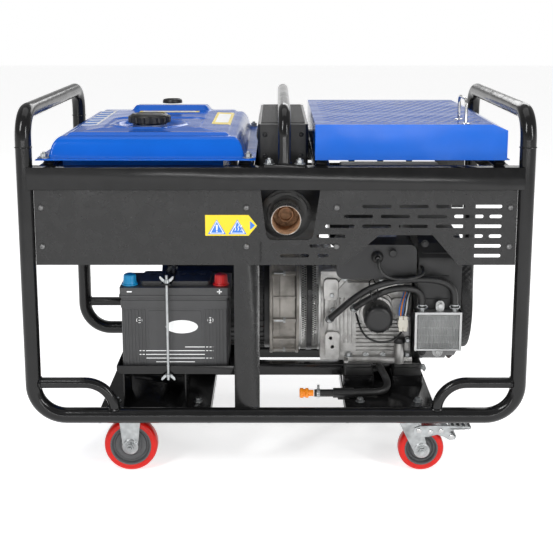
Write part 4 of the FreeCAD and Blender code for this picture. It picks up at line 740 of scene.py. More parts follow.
def hold_down():
    """The strap with its two hooked rods and wing nuts."""
    node = "battery_hold_down"
    start, end = low(node), high(node)
    x = (start.x + end.x) / 2
    front, back = start.y + 8, end.y - 8
    top = high("battery_lid").z - 4
    strap = Builder()
    strap.prism(rounded_outline(x - 11, start.y + 1, x + 11, end.y - 1, 5), 3.2, raised(top + 4))
    strap.done("battery_strap", "chassis", FRAME_BLACK, "frame_black", (node,), bevel=0.8)
    rods = Builder()
    for y in (front, back):
        rods.tube([(x, y, start.z + 1), (x, y, top + 24)], 2.8, 14)
        for number in range(10):
            rods.lathe([(2.6, 0), (3.2, 0.6), (2.6, 1.2)], aim((x, y, top + 10 + number * 1.3), Z), 14,
                       closed=True)
        for z, way in ((top + 8, 1), (start.z + 14, -1)):
            rods.lathe([(3, 0), (6.4, 0), (5.6, 3), (4.6, 7), (3, 7)], aim((x, y, z), (0, 0, way)), 20,
                       closed=True)
            for side in (-1, 1):
                wing = [(4, 0.5), (9, 3), (14, 9), (14.6, 13), (12, 14), (7, 9), (3.6, 6.6)]
                mirrored = Matrix.Diagonal((side, 1, way, 1)) @ FACING_FRONT
                rods.prism(wing, 2.4, Matrix.Translation((x, y + 1.2, z)) @ mirrored)
    rods.done("battery_rods", "chassis", ZINC, "zinc", bevel=0.4)


battery()
hold_down()


# ------------------------------------------------------------------ tank, cap and gauge
def rounded_inset(x, y, left, front, right, back, radius):
    """How far a point lies inside a rectangle with round corners."""
    across = abs(x - (left + right) / 2) - ((right - left) / 2 - radius)
    along = abs(y - (front + back) / 2) - ((back - front) / 2 - radius)
    outside = math.hypot(max(across, 0), max(along, 0))
    return radius - outside - min(max(across, along), 0)


def ease(value, start, end):
    t = min(1, max(0, (value - start) / (end - start)))
    return t * t * (3 - 2 * t)


TANK_LOW, TANK_HIGH = low("fuel_tank_top"), high("fuel_tank_top")
TANK_CAP, TANK_GAUGE = middle("fuel_cap"), middle("fuel_gauge")
TANK_CORNER = 26
DOME_TOP = 716
CAP_SEAT = 708


def tank_height(x, y):
    """The height of the pressed upper half: a flange, a crowned dome, a recess for the cap, a rear
    hump and two shallow pressed fields."""
    start, end, cap, gauge = TANK_LOW, TANK_HIGH, TANK_CAP, TANK_GAUGE
    flange = start.z + 1.5
    crown = DOME_TOP - flange
    inset = rounded_inset(x, y, start.x, start.y, end.x, end.y, TANK_CORNER)
    t = min(1, max(0, (inset - 20) / 26))
    wall = math.sin(t * math.pi / 2) ** 0.75 if t > 0 else 0
    z = flange + (crown - 11) * wall * ease(inset, 18, 30)
    z += 6 * ease(inset, 52, 62)
    z += 5 * ease(inset, 70, 150)
    field = rounded_inset(x, y, cap.x - 92, cap.y - 78, cap.x + 116, cap.y + 118, 22)
    z -= 2.4 * ease(field, 0, 9)
    hump = rounded_inset(x, y, gauge.x - 97, gauge.y - 50, gauge.x + 97, gauge.y + 46, 24)
    z += 13.5 * ease(hump, 0, 15)
    reach = math.hypot(x - cap.x, y - cap.y)
    z -= (z - CAP_SEAT) * (1 - ease(reach, 57, 69))
    return z + 2.0 * ease(reach, 68, 74) * (1 - ease(reach, 78, 86))


def dome_label(builder, left, front, right, back, lift):
    """A thin label laid on the tank's upper surface."""
    rows = []
    for y in [front + (back - front) * step / 24 for step in range(25)]:
        rows.append([(left + (right - left) * step / 12, y) for step in range(13)])
    upper = [[builder.mesh.verts.new((x, y, tank_height(x, y) + lift)) for x, y in row] for row in rows]
    under = [[builder.mesh.verts.new((x, y, tank_height(x, y) - 0.5)) for x, y in row] for row in rows]
    for row in range(24):
        for column in range(12):
            for sheet in (upper, under):
                builder.mesh.faces.new([sheet[row][column], sheet[row][column + 1],
                                        sheet[row + 1][column + 1], sheet[row + 1][column]])
    edge = [(0, c) for c in range(12)] + [(r, 12) for r in range(24)]
    edge += [(24, c) for c in range(12, 0, -1)] + [(r, 0) for r in range(24, 0, -1)]
    for one, two in zip(edge, edge[1:] + edge[:1]):
        builder.mesh.faces.new([upper[one[0]][one[1]], under[one[0]][one[1]],
                                under[two[0]][two[1]], upper[two[0]][two[1]]])


def tank():
    """The pressed upper half on its flange, and the filler neck."""
    node = "fuel_tank_top"
    start, end = low(node), high(node)
    cap = middle("fuel_cap")
    pitch = 2.6
    columns = int((end.x - start.x) / pitch)
    rows = int((end.y - start.y) / pitch)
    shell = Builder()
    grid = []
    for row in range(rows + 1):
        line = []
        for column in range(columns + 1):
            x = start.x + (end.x - start.x) * column / columns
            y = start.y + (end.y - start.y) * row / rows
            inset = rounded_inset(x, y, start.x, start.y, end.x, end.y, TANK_CORNER)
            if inset < 0:
                on_left, in_front = x < (start.x + end.x) / 2, y < (start.y + end.y) / 2
                corner = Vector((start.x + TANK_CORNER if on_left else end.x - TANK_CORNER,
                                 start.y + TANK_CORNER if in_front else end.y - TANK_CORNER))
                way = (Vector((x, y)) - corner).normalized()
                x, y = corner.x + way.x * TANK_CORNER, corner.y + way.y * TANK_CORNER
            line.append(shell.mesh.verts.new((x, y, tank_height(x, y))))
        grid.append(line)
    for row in range(rows):
        for column in range(columns):
            shell.mesh.faces.new([grid[row][column], grid[row][column + 1], grid[row + 1][column + 1],
                                  grid[row + 1][column]])
    border = grid[0] + [line[-1] for line in grid[1:]]
    border += grid[-1][-2::-1] + [line[0] for line in grid[-2:0:-1]]
    skirt = [shell.mesh.verts.new((vertex.co.x, vertex.co.y, start.z)) for vertex in border]
    for index in range(len(border)):
        following = (index + 1) % len(border)
        shell.mesh.faces.new([border[index], skirt[index], skirt[following], border[following]])
    shell.done("tank_upper_pressing", "chassis", TANK_BLUE, "tank_blue", (node,), smooth=60)
    neck = Builder()
    neck.lathe([(32.4, 0), (36, 0), (36, 6.5), (34.6, 7.6), (33, 7.6)], aim((cap.x, cap.y, 707), Z), 56,
               closed=True)
    neck.done("tank_filler_neck", "chassis", ZINC, "tank_blue")


def filler_cap():
    """A black moulded cap with deep finger grips."""
    node = "fuel_cap"
    centre, foot = middle(node), low(node).z
    cap = Builder()
    outline = []
    for step in range(144):
        angle = TURN * step / 144
        radius = 45.2 - 2.6 * max(0, math.cos(angle * 18)) ** 2
        outline.append((centre.x + radius * math.cos(angle), centre.y + radius * math.sin(angle)))
    cap.prism(outline, 13, raised(foot + 1))
    cap.lathe([(0, 13), (41.5, 13), (40.5, 16), (37, 18.6), (33, 19.3), (31.5, 17.4), (29.5, 17.2),
               (28, 18.8), (0, 19.4)], aim((centre.x, centre.y, foot + 0.4), Z), 96)
    cap.done("filler_cap_moulding", "fuel_cap", PLASTIC, "plastic_black", (node,), bevel=0.8)


def float_gauge():
    node = "fuel_gauge"
    centre, foot = middle(node), low(node).z
    bezel = Builder()
    bezel.lathe([(17, 0), (23.8, 0), (23.4, 5), (21.6, 8.6), (19.4, 9.4), (18, 7.6), (17, 5)],
                aim((centre.x, centre.y, foot), Z), 56, closed=True)
    bezel.done("gauge_bezel", "chassis", PLASTIC, "plastic_black", (node,), bevel=0.3)
    dial = Builder()
    dial.lathe(rectangle(0, 0, 17.6, 5.2), aim((centre.x, centre.y, foot), Z), 40)
    dial.done("gauge_dial", "chassis", DECAL_WHITE, "plastic_black")
    needle = Builder()
    needle.prism([(-2, -1), (12, -0.4), (12, 0.4), (-2, 1)], 0.6,
                 aim((centre.x, centre.y, foot + 5.4), Z, 0.9))
    for number in range(7):
        needle.prism(rectangle(12.8, -0.5, 15.6, 0.5), 0.5,
                     aim((centre.x, centre.y, foot + 5.3), Z, 0.2 + number * 0.45))
    needle.done("gauge_needle", "chassis", CAP_RED, "plastic_black")


tank()
filler_cap()
float_gauge()


# ------------------------------------------------------------------ exhaust and guard
def exhaust():
    node = "exhaust_outlet"
    centre, start, end = middle(node), low(node), high(node)
    place = aim((centre.x, end.y, centre.z), -Y)
    long = end.y - start.y
    pipe = Builder()
    pipe.lathe([(28.1, 0), (30, 0), (30, long - 3), (29.8, long - 0.8), (29, long), (28.3, long - 0.6),
                (28.1, long - 2.4)], place, 80, closed=True)
    pipe.done("outlet_pipe_rim", "chassis", RIM_STEEL, "muffler_steel", (node,))
    lining = Builder()
    lining.lathe([(25.8, 2), (28.05, 2), (28.05, long - 2.6), (27.6, long - 2.6)], place, 80, closed=True)
    lining.lathe([(0, 70), (26.5, 70), (26.5, 72), (17, 72), (15, 86), (12.4, 86), (12, 72.5), (0, 72.5)],
                 place, 64)
    for number in range(10):
        angle = TURN * number / 10
        lining.lathe(rectangle(1.6, 0, 2.6, 1.6),
                     place @ Matrix.Translation((21.5 * math.cos(angle), 21.5 * math.sin(angle), 71.8)),
                     12, closed=True)
    lining.done("outlet_pipe_lining", "chassis", RUST, "muffler_steel")
    face = Builder()
    front = low("muffler").y
    spot = aim((centre.x, front + 11.5, centre.z), -Y)
    face.lathe([(31, 0), (51.5, 0), (51.6, 7), (50, 10), (47, 11.4), (31, 11.4)], spot, 80, closed=True)
    for radius, begin, sweep in ((46, 0.2, 0.9), (46, 1.35, 0.9), (46, 3.3, 1.0), (46, 4.6, 0.9),
                                 (38.5, 0.7, 1.1), (38.5, 2.5, 1.2), (38.5, 4.3, 1.1)):
        bead = []
        for step in range(13):
            angle = begin + sweep * step / 12
            bead.append(spot @ Vector((radius * math.cos(angle), radius * math.sin(angle), 11)))
        face.tube(bead, 1.4, 8)
    face.done("muffler_face_pressing", "chassis", SILENCER, "muffler_steel")


def guard():
    """Rows of raised louvres on the guard between tank and cover."""
    node = "muffler_guard"
    start, end = low(node), high(node)
    shell = Builder()
    shell.prism(rounded_outline(start.x, start.y, end.x, end.y, 6), end.z - start.z - 3,
                raised(start.z))
    count = 22
    pitch = (end.y - start.y - 24) / count
    for number in range(count):
        y = start.y + 14 + number * pitch
        hood = [(y, end.z - 5), (y + 2.4, end.z - 0.6), (y + 5.5, end.z - 0.2), (y + 11, end.z - 3.4),
                (y + 11, end.z - 5)]
        shell.prism(hood, end.x - start.x - 12, on_right(start.x + 6))
    for side in (start.x, end.x):
        for number in range(11):
            y = start.y + 24 + number * (end.y - start.y - 48) / 10
            way = -1 if side == start.x else 1
            hood = [(side, end.z - 44), (side, end.z - 18), (side + way * 3.2, end.z - 21),
                    (side + way * 3.8, end.z - 30)]
            shell.prism(hood, 9, Matrix.Translation((0, y - 4.5 + 9, 0)) @ FACING_FRONT)
    for number in range(2):
        for side in (start.x + 14, end.x - 14):
            dome_bolt(shell, (side, start.y, start.z + 24 + number * 44), -Y, 5, 3)
    shell.done("guard_louvres", "chassis", PLASTIC, "panel_black", (node,), bevel=0.8)


exhaust()
guard()


# ------------------------------------------------------------------ alternator
def alternator():
    bell, mesh = "alternator_bell", "alternator_mesh_guard"
    shaft = middle("crankshaft")
    start, end = low(bell).x, high(bell).x
    place = aim((start, 0, shaft.z), X)
    long = end - start
    casting = Builder()
    casting.lathe([(125, 0), (136.5, 0), (136.8, 6), (131.5, 8.5), (131, 22), (132, 24), (131, 26),
                   (131, long - 9), (136.8, long - 6), (136.6, long), (125, long), (124, long - 4),
                   (124, 4)], place, 128, closed=True)
    casting.sleeve(50, 125, 1, 6, place, 96)
    for number in range(16):
        angle = TURN * (number + 0.5) / 16
        radial = about_shaft(start, shaft.z, angle)
        wide = 9 if number % 2 == 0 else 4
        rib = [(130, 7), (136.2, 7), (136.4, long - 7), (130, long - 7)]
        corners = [Vector((x, -wide / 2, z)) for z, x in rib]
        far = [Vector((x, wide / 2, z)) for z, x in rib]
        near_verts = [casting.mesh.verts.new(radial @ c) for c in corners]
        far_verts = [casting.mesh.verts.new(radial @ c) for c in far]
        casting.mesh.faces.new(near_verts)
        casting.mesh.faces.new(far_verts[::-1])
        for index in range(4):
            following = (index + 1) % 4
            casting.mesh.faces.new([near_verts[index], far_verts[index], far_verts[following],
                                    near_verts[following]])
    casting.done("bell_casting", "chassis", CAST_WARM, "cast_aluminium", (bell,), bevel=0.9, smooth=28)
    bolts = Builder()
    for number in range(8):
        angle = TURN * (number * 2 + 0.5) / 16
        head = Vector((start + 10, -133 * math.sin(angle), shaft.z + 133 * math.cos(angle)))
        bolts.lathe(rectangle(0, 0, 4, 22), aim(head, X), 12)
        bolts.lathe(rectangle(0, 0, 6, 5), aim(head + Vector((20, 0, 0)), X), 6)
    bolts.done("bell_bolts", "chassis", ZINC, "zinc")
    left, right = low(mesh).x, high(mesh).x
    wires = Builder()
    lattice(wires, 127.4, left + 3, right - 3, shaft.z, 150, 0.16, 0.75)
    for x, wide in ((left, 4), (right - 4, 4)):
        wires.sleeve(126, 129, 0, wide, aim((x, 0, shaft.z), X), 96)
    wires.done("mesh_wires", "chassis", MESH_STEEL, "mesh_steel", (mesh,))
    band = Builder()
    band.lathe([(128.2, 0), (130, 0.4), (130, 11.6), (128.2, 12)], aim((left + 17, 0, shaft.z), X), 128,
               closed=True)
    screw = Vector((left + 23, -130 * math.cos(0.16), shaft.z + 130 * math.sin(0.16)))
    band.lathe([(0, 0), (7, 0), (6, 3), (2, 3.2), (2, 1.8), (0, 1.8)], aim(screw, (0, -1, 0.16)), 28)
    band.block((left + 18, screw.y - 1, screw.z - 22), (left + 28, screw.y + 5, screw.z + 22))
    band.done("mesh_band", "chassis", PLASTIC, "panel_black", bevel=0.5)
    fan = Builder()
    fan.lathe([(30, 0), (119, 0), (119, 3), (60, 8), (30, 8)], aim((left + 2, 0, shaft.z), X), 72,
              closed=True)
    for number in range(18):
        turn = about_shaft(left + 5, shaft.z, TURN * number / 18)
        fan.prism(rectangle(62, -1.5, 118, 1.5), 34,
                  turn @ ALONG_SHAFT)
    fan.done("alternator_fan", "rotating_group", PLASTIC, None, bevel=0.4)
    barrel = Builder()
    node = "alternator_housing"
    first, last = low(node).x, high(node).x
    radius = 124.6
    barrel.lathe([(118.4, 0), (radius, 0), (radius, 10), (radius - 2.5, 13),
                  (radius - 2.5, last - first - 14),
                  (radius, last - first - 11), (radius, last - first - 0.2), (118.4, last - first - 0.2)],
                  aim((first, 0, shaft.z), X), 128, closed=True)
    for number in range(48):
        turn = about_shaft(first, shaft.z, TURN * number / 48)
        barrel.prism(rectangle(121, -1.2, 124.5, 1.2), last - first - 20,
                     turn @ Matrix.Translation((10, 0, 0)) @ ALONG_SHAFT)
    barrel.sleeve(100, 123, 0.2, 7, aim((first, 0, shaft.z), X), 96)
    barrel.lathe([(20.3, 0.1), (56, 0.1), (56, 9), (28, 14), (20.3, 14)], aim((first, 0, shaft.z), X), 96,
                 closed=True)
    for number in range(16):
        turn = about_shaft(first + 1, shaft.z, TURN * (number + 0.5) / 16)
        barrel.prism(rectangle(54, -4, 102, 4), 5,
                     turn @ ALONG_SHAFT)
    barrel.done("alternator_barrel", "chassis", PLASTIC, "housing_black", (node,), bevel=0.6)


alternator()


# ------------------------------------------------------------------ engine
CASE_BOLTS = ((124, 226), (120, 246), (126, 306), (122, 342), (160, 205), (198, 205), (236, 205),
              (274, 205), (289, 240), (289, 290), (288, 344), (268, 371), (228, 378), (186, 381),
              (150, 379))


def crankcase():
    """Ribs, cover plate, flange and bolts on the casting."""
    shaft_z = middle("crankshaft").z
    front = -118
    parts = Builder()
    for way, y in ((-1, front), (1, -front)):
        place = on_front(y + 2) if way < 0 else on_rear(y - 2)
        outline = [(112, 214), (150, 200), (288, 200), (293, 214), (293, 352), (270, 376), (150, 384),
                   (118, 350)]
        parts.prism(outline, 7, place)
        inner = [(124, 222), (154, 210), (280, 210), (284, 220), (284, 345), (265, 366), (154, 374),
                 (128, 344)]
        parts.prism(inner, 9.5, place)
        for number in range(9):
            z = 214 + number * 8.6
            parts.prism(rectangle(176, z, 282, z + 2.8), 15, place)
        for number in range(5):
            x = 130 + number * 9
            parts.prism(rectangle(x, 232, x + 3, 335), 14, place)
        parts.prism(rounded_outline(108, 196, 140, 260, 10), 18, place)
        parts.prism(rounded_outline(104, 330, 136, 378, 9), 15, place)
        parts.prism(rounded_outline(252, 300, 292, 336, 8), 16, place)
        for x, z in CASE_BOLTS:
            parts.lathe([(0, 0), (8.2, 0), (7.4, 12), (0, 12)], place @ Matrix.Translation((x, z, 0)), 24)
        centre = place @ Vector((219, 306, 0))
        parts.lathe([(36, 0), (45, 0), (43, 14), (36, 15)], aim(centre, (0, way, 0)), 56, closed=True)
        for number in range(8):
            x = 160 + number * 17.5
            parts.prism(rectangle(x, 190, x + 4, 203), 16, place)
        parts.prism(rectangle(150, 191, 298, 197), 26, place)
    parts.lathe([(120, 0), (127, 0), (127, 6), (122, 9), (104, 24), (96, 26), (90, 26), (90, 0)],
                aim((98.4, 0, shaft_z), X), 96, closed=True)
    parts.done("crankcase_ribs", "chassis", CAST, "cast_aluminium", bevel=1.0)
    bolts = Builder()
    for way, y in ((-1, front), (1, -front)):
        for x, z in CASE_BOLTS:
            hex_bolt(bolts, (x, y + way * 10, z), (0, way, 0), 9, 6, 6.5)
        for x in (160, 288):
            hex_bolt(bolts, (x, y + way * 14, 204), Z, 12, 9, 10)
    bolts.done("crankcase_bolts", "chassis", ZINC, "zinc")


def oil_filter():
    node = "oil_filter"
    centre = middle(node)
    long = high(node).y - low(node).y
    can = Builder()
    can.lathe([(0, 0), (30, 0), (31, 2), (31, long - 14), (30.6, long - 11), (29, long - 7),
               (26, long - 3), (22, long - 1), (16, long - 0.3), (0, long - 0.2)],
               aim((centre.x, high(node).y, centre.z), -Y), 72)
    for number in range(15):
        angle = TURN * number / 15
        x, z = 30.2 * math.cos(angle), 30.2 * math.sin(angle)
        can.tube([(centre.x + x, low(node).y + 8, centre.z + z),
                  (centre.x + x, low(node).y + 24, centre.z + z)],
                 1.6, 6)
    can.done("oil_filter_can", "chassis", PLASTIC, "housing_black", (node,))


def oil_cooler():
    """Corrugated fins between flat tubes, side plates, a lug, barbs and clamps."""
    node = "oil_cooler"
    start, end = low(node), high(node)
    top = 328
    fins = Builder()
    rows = 5
    gap = (top - start.z - 6) / rows
    count = 26
    pitch = (end.x - start.x - 10) / count
    for row in range(rows):
        z = start.z + 3 + row * gap
        wave = []
        for step in range(count * 2 + 1):
            x = start.x + 5 + step * pitch / 2
            wave.append((x, start.y + (1.2 if step % 2 else 3.6)))
        back = [(x, y + 1.0) for x, y in reversed(wave)]
        fins.prism(wave + back, gap - 1.2, raised(z + 0.6))
    fins.done("cooler_fins", "chassis", FIN_SILVER, "cast_aluminium", (node,))
    plates = Builder()
    for row in range(rows + 1):
        z = start.z + 3 + row * gap - 0.9
        plates.block((start.x + 2, start.y + 2.4, z + 0.3), (end.x - 2, end.y - 1, z + 1.5))
    for x in (start.x, end.x - 5):
        plates.block((x, start.y + 0.6, start.z), (x + 5, end.y, top))
    plates.block((start.x, start.y + 6, start.z + 2), (end.x, end.y - 2, top - 2))
    plates.prism(rounded_outline(start.x, start.y + 1, end.x, end.y - 1, 4), 5, raised(top - 5))
    plates.prism(rounded_outline(start.x, start.y + 1, end.x, end.y - 1, 4), 4, raised(start.z))
    lug = start.x + 54
    plates.prism(rounded_outline(lug - 9, top - 2, lug + 9, end.z, 8), 4, on_front(start.y + 16))
    hex_bolt(plates, (lug, start.y + 12, end.z - 10), -Y, 11, 7, 8)
    plates.lathe(rectangle(0, 0, 11, 6), aim((lug - 4, start.y + 12, start.z - 4), -Y), 28)
    hex_bolt(plates, (lug - 4, start.y + 6, start.z - 4), -Y, 10, 6, 8)
    plates.done("cooler_plates", "chassis", FIN_SILVER, "cast_aluminium", bevel=0.5)


def hoses():
    """Two hoses on smooth curves from the case to the cooler, with clamps and a tie."""
    left, right, top = low("oil_cooler").x + 16, high("oil_cooler").x - 14, 328
    y = low("oil_cooler").y + 15
    long_route = [(114, -138, 288), (128, -160, 308), (152, -192, 342), (192, -213, 380),
                  (240, -217, 397),
                  (300, -215, 402), (350, -208, 396), (right, y - 2, 376), (right, y, 352),
                  (right, y, top + 3)]
    short_route = [(166, -152, 318), (180, -178, 336), (208, -204, 362), (244, -211, 380),
                   (282, -207, 380), (left, y - 2, 368), (left, y, 350), (left, y, top + 3)]
    smooth_cord("oil_hose_long", long_route, 7, "chassis", RUBBER, "rubber_black", ("oil_hoses",))
    smooth_cord("oil_hose_short", short_route, 7, "chassis", RUBBER, "rubber_black")
    clamps = Builder()
    for x in (left, right):
        for z in (top + 6, top + 13):
            clamps.sleeve(7.1, 8.4, -1.2, 1.2, aim((x, y, z), Z, 0), 36)
        clamps.tube([(x - 8, y - 3, top + 6), (x - 11, y - 4, top + 9.5), (x - 8, y - 3, top + 13)], 1.1,
                    8)
        clamps.tube([(x + 8, y - 3, top + 6), (x + 11, y - 4, top + 9.5), (x + 8, y - 3, top + 13)], 1.1,
                    8)
        clamps.sleeve(4.4, 6, -1, 4, aim((x, y, top), Z), 24)
    for point, along in (((118, -144, 293), (0.5, -0.55, 0.6)), ((170, -159, 322), (0.5, -0.65, 0.5))):
        clamps.sleeve(7.2, 8.6, -4, 4, aim(point, along), 36)
    clamps.done("hose_clamps", "chassis", ZINC, "zinc", bevel=0.3)
    tie = Builder()
    tie.tube([(198, -222, 372), (196, -204, 392), (204, -196, 398), (212, -214, 384), (214, -224, 364),
              (206, -214, 352), (198, -222, 372)], 1.6, 8)
    tie.done("hose_tie", "chassis", PLASTIC, "rubber_black")


def reach_of(outline, centre_z, angle):
    """How far a closed outline in Y and Z lies from the shaft line in one direction."""
    way = Vector((math.sin(angle), math.cos(angle)))
    best = 0
    for (y1, z1), (y2, z2) in zip(outline, outline[1:] + outline[:1]):
        one, two = Vector((y1, z1 - centre_z)), Vector((y2, z2 - centre_z))
        edge = two - one
        across = way.x * edge.y - way.y * edge.x
        if abs(across) < 1e-9:
            continue
        far = (one.x * edge.y - one.y * edge.x) / across
        along = (one.x * way.y - one.y * way.x) / across
        if -1e-9 <= along <= 1 + 1e-9 and far > best:
            best = far
    return best


def shell_ring(builder, outline, centre_z, bore, left, right):
    """A plate between an outline and a round bore about the shaft line."""
    angles = [TURN * step / 72 for step in range(72)]
    angles += [math.atan2(y, z - centre_z) % TURN for y, z in outline]
    rims = []
    for x in (left, right):
        inside, outside = [], []
        for angle in sorted(angles):
            for ring, reach in ((inside, bore), (outside, reach_of(outline, centre_z, angle))):
                ring.append(builder.mesh.verts.new((x, reach * math.sin(angle),
                                                    centre_z + reach * math.cos(angle))))
        rims.append((inside, outside))
    (in_left, out_left), (in_right, out_right) = rims
    for one, two in ((in_left, out_left), (out_left, out_right), (out_right, in_right),
                     (in_right, in_left)):
        for step in range(len(one)):
            following = (step + 1) % len(one)
            builder.mesh.faces.new([one[step], one[following], two[following], two[step]])


def shrouds():
    """Rounded covers on both heads and the blower housing."""
    shroud = Builder()
    for way in (-1, 1):
        y_front = way * 205
        place = on_front(-95 if way < 0 else 205)
        shroud.prism(rounded_outline(127, 398, 295, 472, 16), 110, place)
        outward = on_front(-204) if way < 0 else on_rear(204)
        shroud.prism(rounded_outline(136, 406, 286, 464, 12), 0.9, outward)
        shroud.prism(rounded_outline(250, 412, 284, 440, 6), 0.9, outward)
        shroud.prism(rectangle(130, 452, 292, 456), 0.9, outward)
        shroud.lathe([(12, 0), (17, 0), (16.4, 0.9), (12, 0.9)],
                     outward @ Matrix.Translation((212, 446, 0)), 40, closed=True)
        for x in (140, 282):
            dome_bolt(shroud, (x, y_front - way * 1.2, 462), (0, way, 0), 5, 1.2)
    shroud.done("head_shrouds", "chassis", PLASTIC_SOFT, "plastic_black", bevel=5, segments=4)
    housing = Builder()
    left, right, half = 302, 403, 185
    base, top = 192, 482
    shaft_z, bore = 312, 118
    outline = [(-half, base + 66), (-half + 20, base + 36), (-half + 66, base + 4), (-half + 84, base),
               (half - 84, base), (half - 66, base + 4), (half - 20, base + 36), (half, base + 66),
               (half, top - 44), (half - 14, top - 14), (half - 44, top), (-half + 44, top),
               (-half + 14, top - 14), (-half, top - 44)]
    ring = Builder()
    shell_ring(housing, outline, shaft_z, bore, left, right - 30)
    small = [(y * 0.965, 337 + (z - 337) * 0.965) for y, z in outline]
    shell_ring(housing, small, shaft_z, bore, right - 30, right - 8)
    housing.done("blower_housing_back", "chassis", PLASTIC, "plastic_black", ("engine_shrouds",), bevel=7,
                 segments=4)
    ring.lathe([(119, 0), (150, 0), (146, 5), (124, 8), (119, 8)], aim((right - 9, 0, shaft_z), X), 96,
               closed=True)
    for way in (-1, 1):
        for z in (300, 350, 400, 450):
            ring.tube([(left + 8, way * (half - 0.6), z), (right - 36, way * (half - 0.6), z)], 1.6, 8)
        for x, z in ((left + 12, 232), (left + 12, 470), (right - 40, 470)):
            hex_bolt(ring, (x, way * (half - 1), z), (0, way, 0), 10, 5, 8)
    ring.done("blower_housing_front", "chassis", PLASTIC, "plastic_black", bevel=0.8)


def rotating_screen():
    node = "rotating_screen"
    start, end = low(node), high(node)
    shaft_z = middle(node).z
    refine(node, PLASTIC, 0.6)
    rim = Builder()
    lattice(rim, 121.4, start.x + 2, end.x - 2, shaft_z, 60, 0.16, 1.5)
    rim.sleeve(117, 122, 0, 3, aim((start.x, 0, shaft_z), X), 96)
    rim.done("screen_rim_lattice", "rotating_group", PLASTIC, "plastic_black")
    bolts = Builder()
    for number in range(4):
        angle = TURN * (number + 0.5) / 4
        hex_bolt(bolts, (end.x - 0.2, 17 * math.sin(angle), shaft_z + 17 * math.cos(angle)), X, 8, 5, 6)
    bolts.done("screen_bolts", "rotating_group", ZINC, None)


def plug_and_wiring():
    node = "ignition_wiring"
    route = [(212, -216, 446), (212, -229, 444), (213, -233, 430), (224, -232, 412), (248, -231, 404),
             (276, -231, 404), (300, -229, 410), (309, -222, 418), (309, -198, 420), (309, -186, 419)]
    smooth_cord("plug_lead", route, 3.4, "chassis", RUBBER, "rubber_black", (node,))
    boot = Builder()
    boot.lathe([(0, 0), (13, 0), (13, 3), (11, 4.5), (12, 6), (12, 8), (10, 11), (6, 13), (4, 20),
                (0, 20)],
               aim((212, -205, 446), -Y), 40)
    boot.done("plug_boot", "chassis", RUBBER, "rubber_black")
    knob = Builder()
    knob.lathe([(0, 0), (8, 0), (8, 2), (5, 3), (5, 7), (8, 9), (8.4, 12), (7, 14), (0, 15)],
               aim((244, -204, 456), -Y), 32)
    knob.done("shroud_knob", "chassis", PLASTIC, "plastic_black")
    plug = Builder()
    for row in range(2):
        for column in range(3):
            x, z = 264 + row * 9.6, 274 + column * 11.6
            plug.prism(rounded_outline(x, z, x + 8.6, z + 10.4, 1.4), 13, on_front(-162))
    plug.prism(rounded_outline(262.6, 283, 283.4, 300, 1.5), 15, on_front(-160.6))
    plug.done("harness_connector", "chassis", CONNECTOR, None, bevel=0.5)
    for number, paint in enumerate((DECAL_BLUE, PLUG_ORANGE, DECAL_BLUE, RUBBER, DECAL_WHITE, RUBBER)):
        x = 265 + number * 3.2
        run = [(x, -170, 308), (x - 1 + number, -172, 322), (x + 4, -166, 340 + number * 2),
               (x + 12, -150, 352), (x + 14, -140, 362)]
        smooth_cord(f"harness_wire_{number}", run, 1.2, "chassis", paint, None)
    smooth_cord("harness_loom", [(176, -126, 300), (182, -160, 268), (204, -176, 252), (236, -180, 250),
                                 (262, -168, 256),
                                 (274, -160, 270), (274, -160, 280)], 2.2, "chassis", RUBBER, None)


def drain():
    """The drain hose in its sleeve, with a clamp and an orange plug."""
    node = "drain_hose"
    start = low(node)
    route = [(226, -146, 186), (230, -160, 182), (238, -178, 172), (241, -194, 160), (232, -208, 153),
             (214, -214, 152), (180, -216, 152), (140, -216, 151), (104, -214, 150), (82, -213.5, 150)]
    smooth_cord("drain_hose_rubber", route, 8, "chassis", RUBBER, "rubber_black", (node,))
    sleeve = Builder()
    sleeve.sleeve(8.2, 10.6, 0, 44, aim((122, -215.4, 151), X), 32)
    sleeve.block((132, -222, 138), (156, -210, 142))
    sleeve.done("drain_sleeve", "chassis", PLASTIC, "rubber_black", bevel=0.6)
    clamp = Builder()
    clamp.sleeve(8.1, 9.4, 0, 7, aim((87, -213.6, 150), X), 36)
    clamp.block((88, -216, 158), (93, -211, 168))
    clamp.tube([(90.5, -219, 165), (90.5, -208, 165)], 2, 10)
    clamp.done("drain_clamp", "chassis", ZINC, "zinc", bevel=0.4)
    plug = Builder()
    plug.lathe([(0, 0), (9, 0), (10.8, 1.5), (10.8, 8), (8.6, 9), (8.6, 12), (10.6, 13), (10.6, 19),
                (7, 20), (7, 30), (0, 30)], aim((start.x + 0.4, -213.5, 150), X), 10)
    plug.done("drain_plug", "chassis", PLUG_ORANGE, None, bevel=0.5)


crankcase()
oil_filter()
oil_cooler()
hoses()
shrouds()
rotating_screen()
plug_and_wiring()
drain()


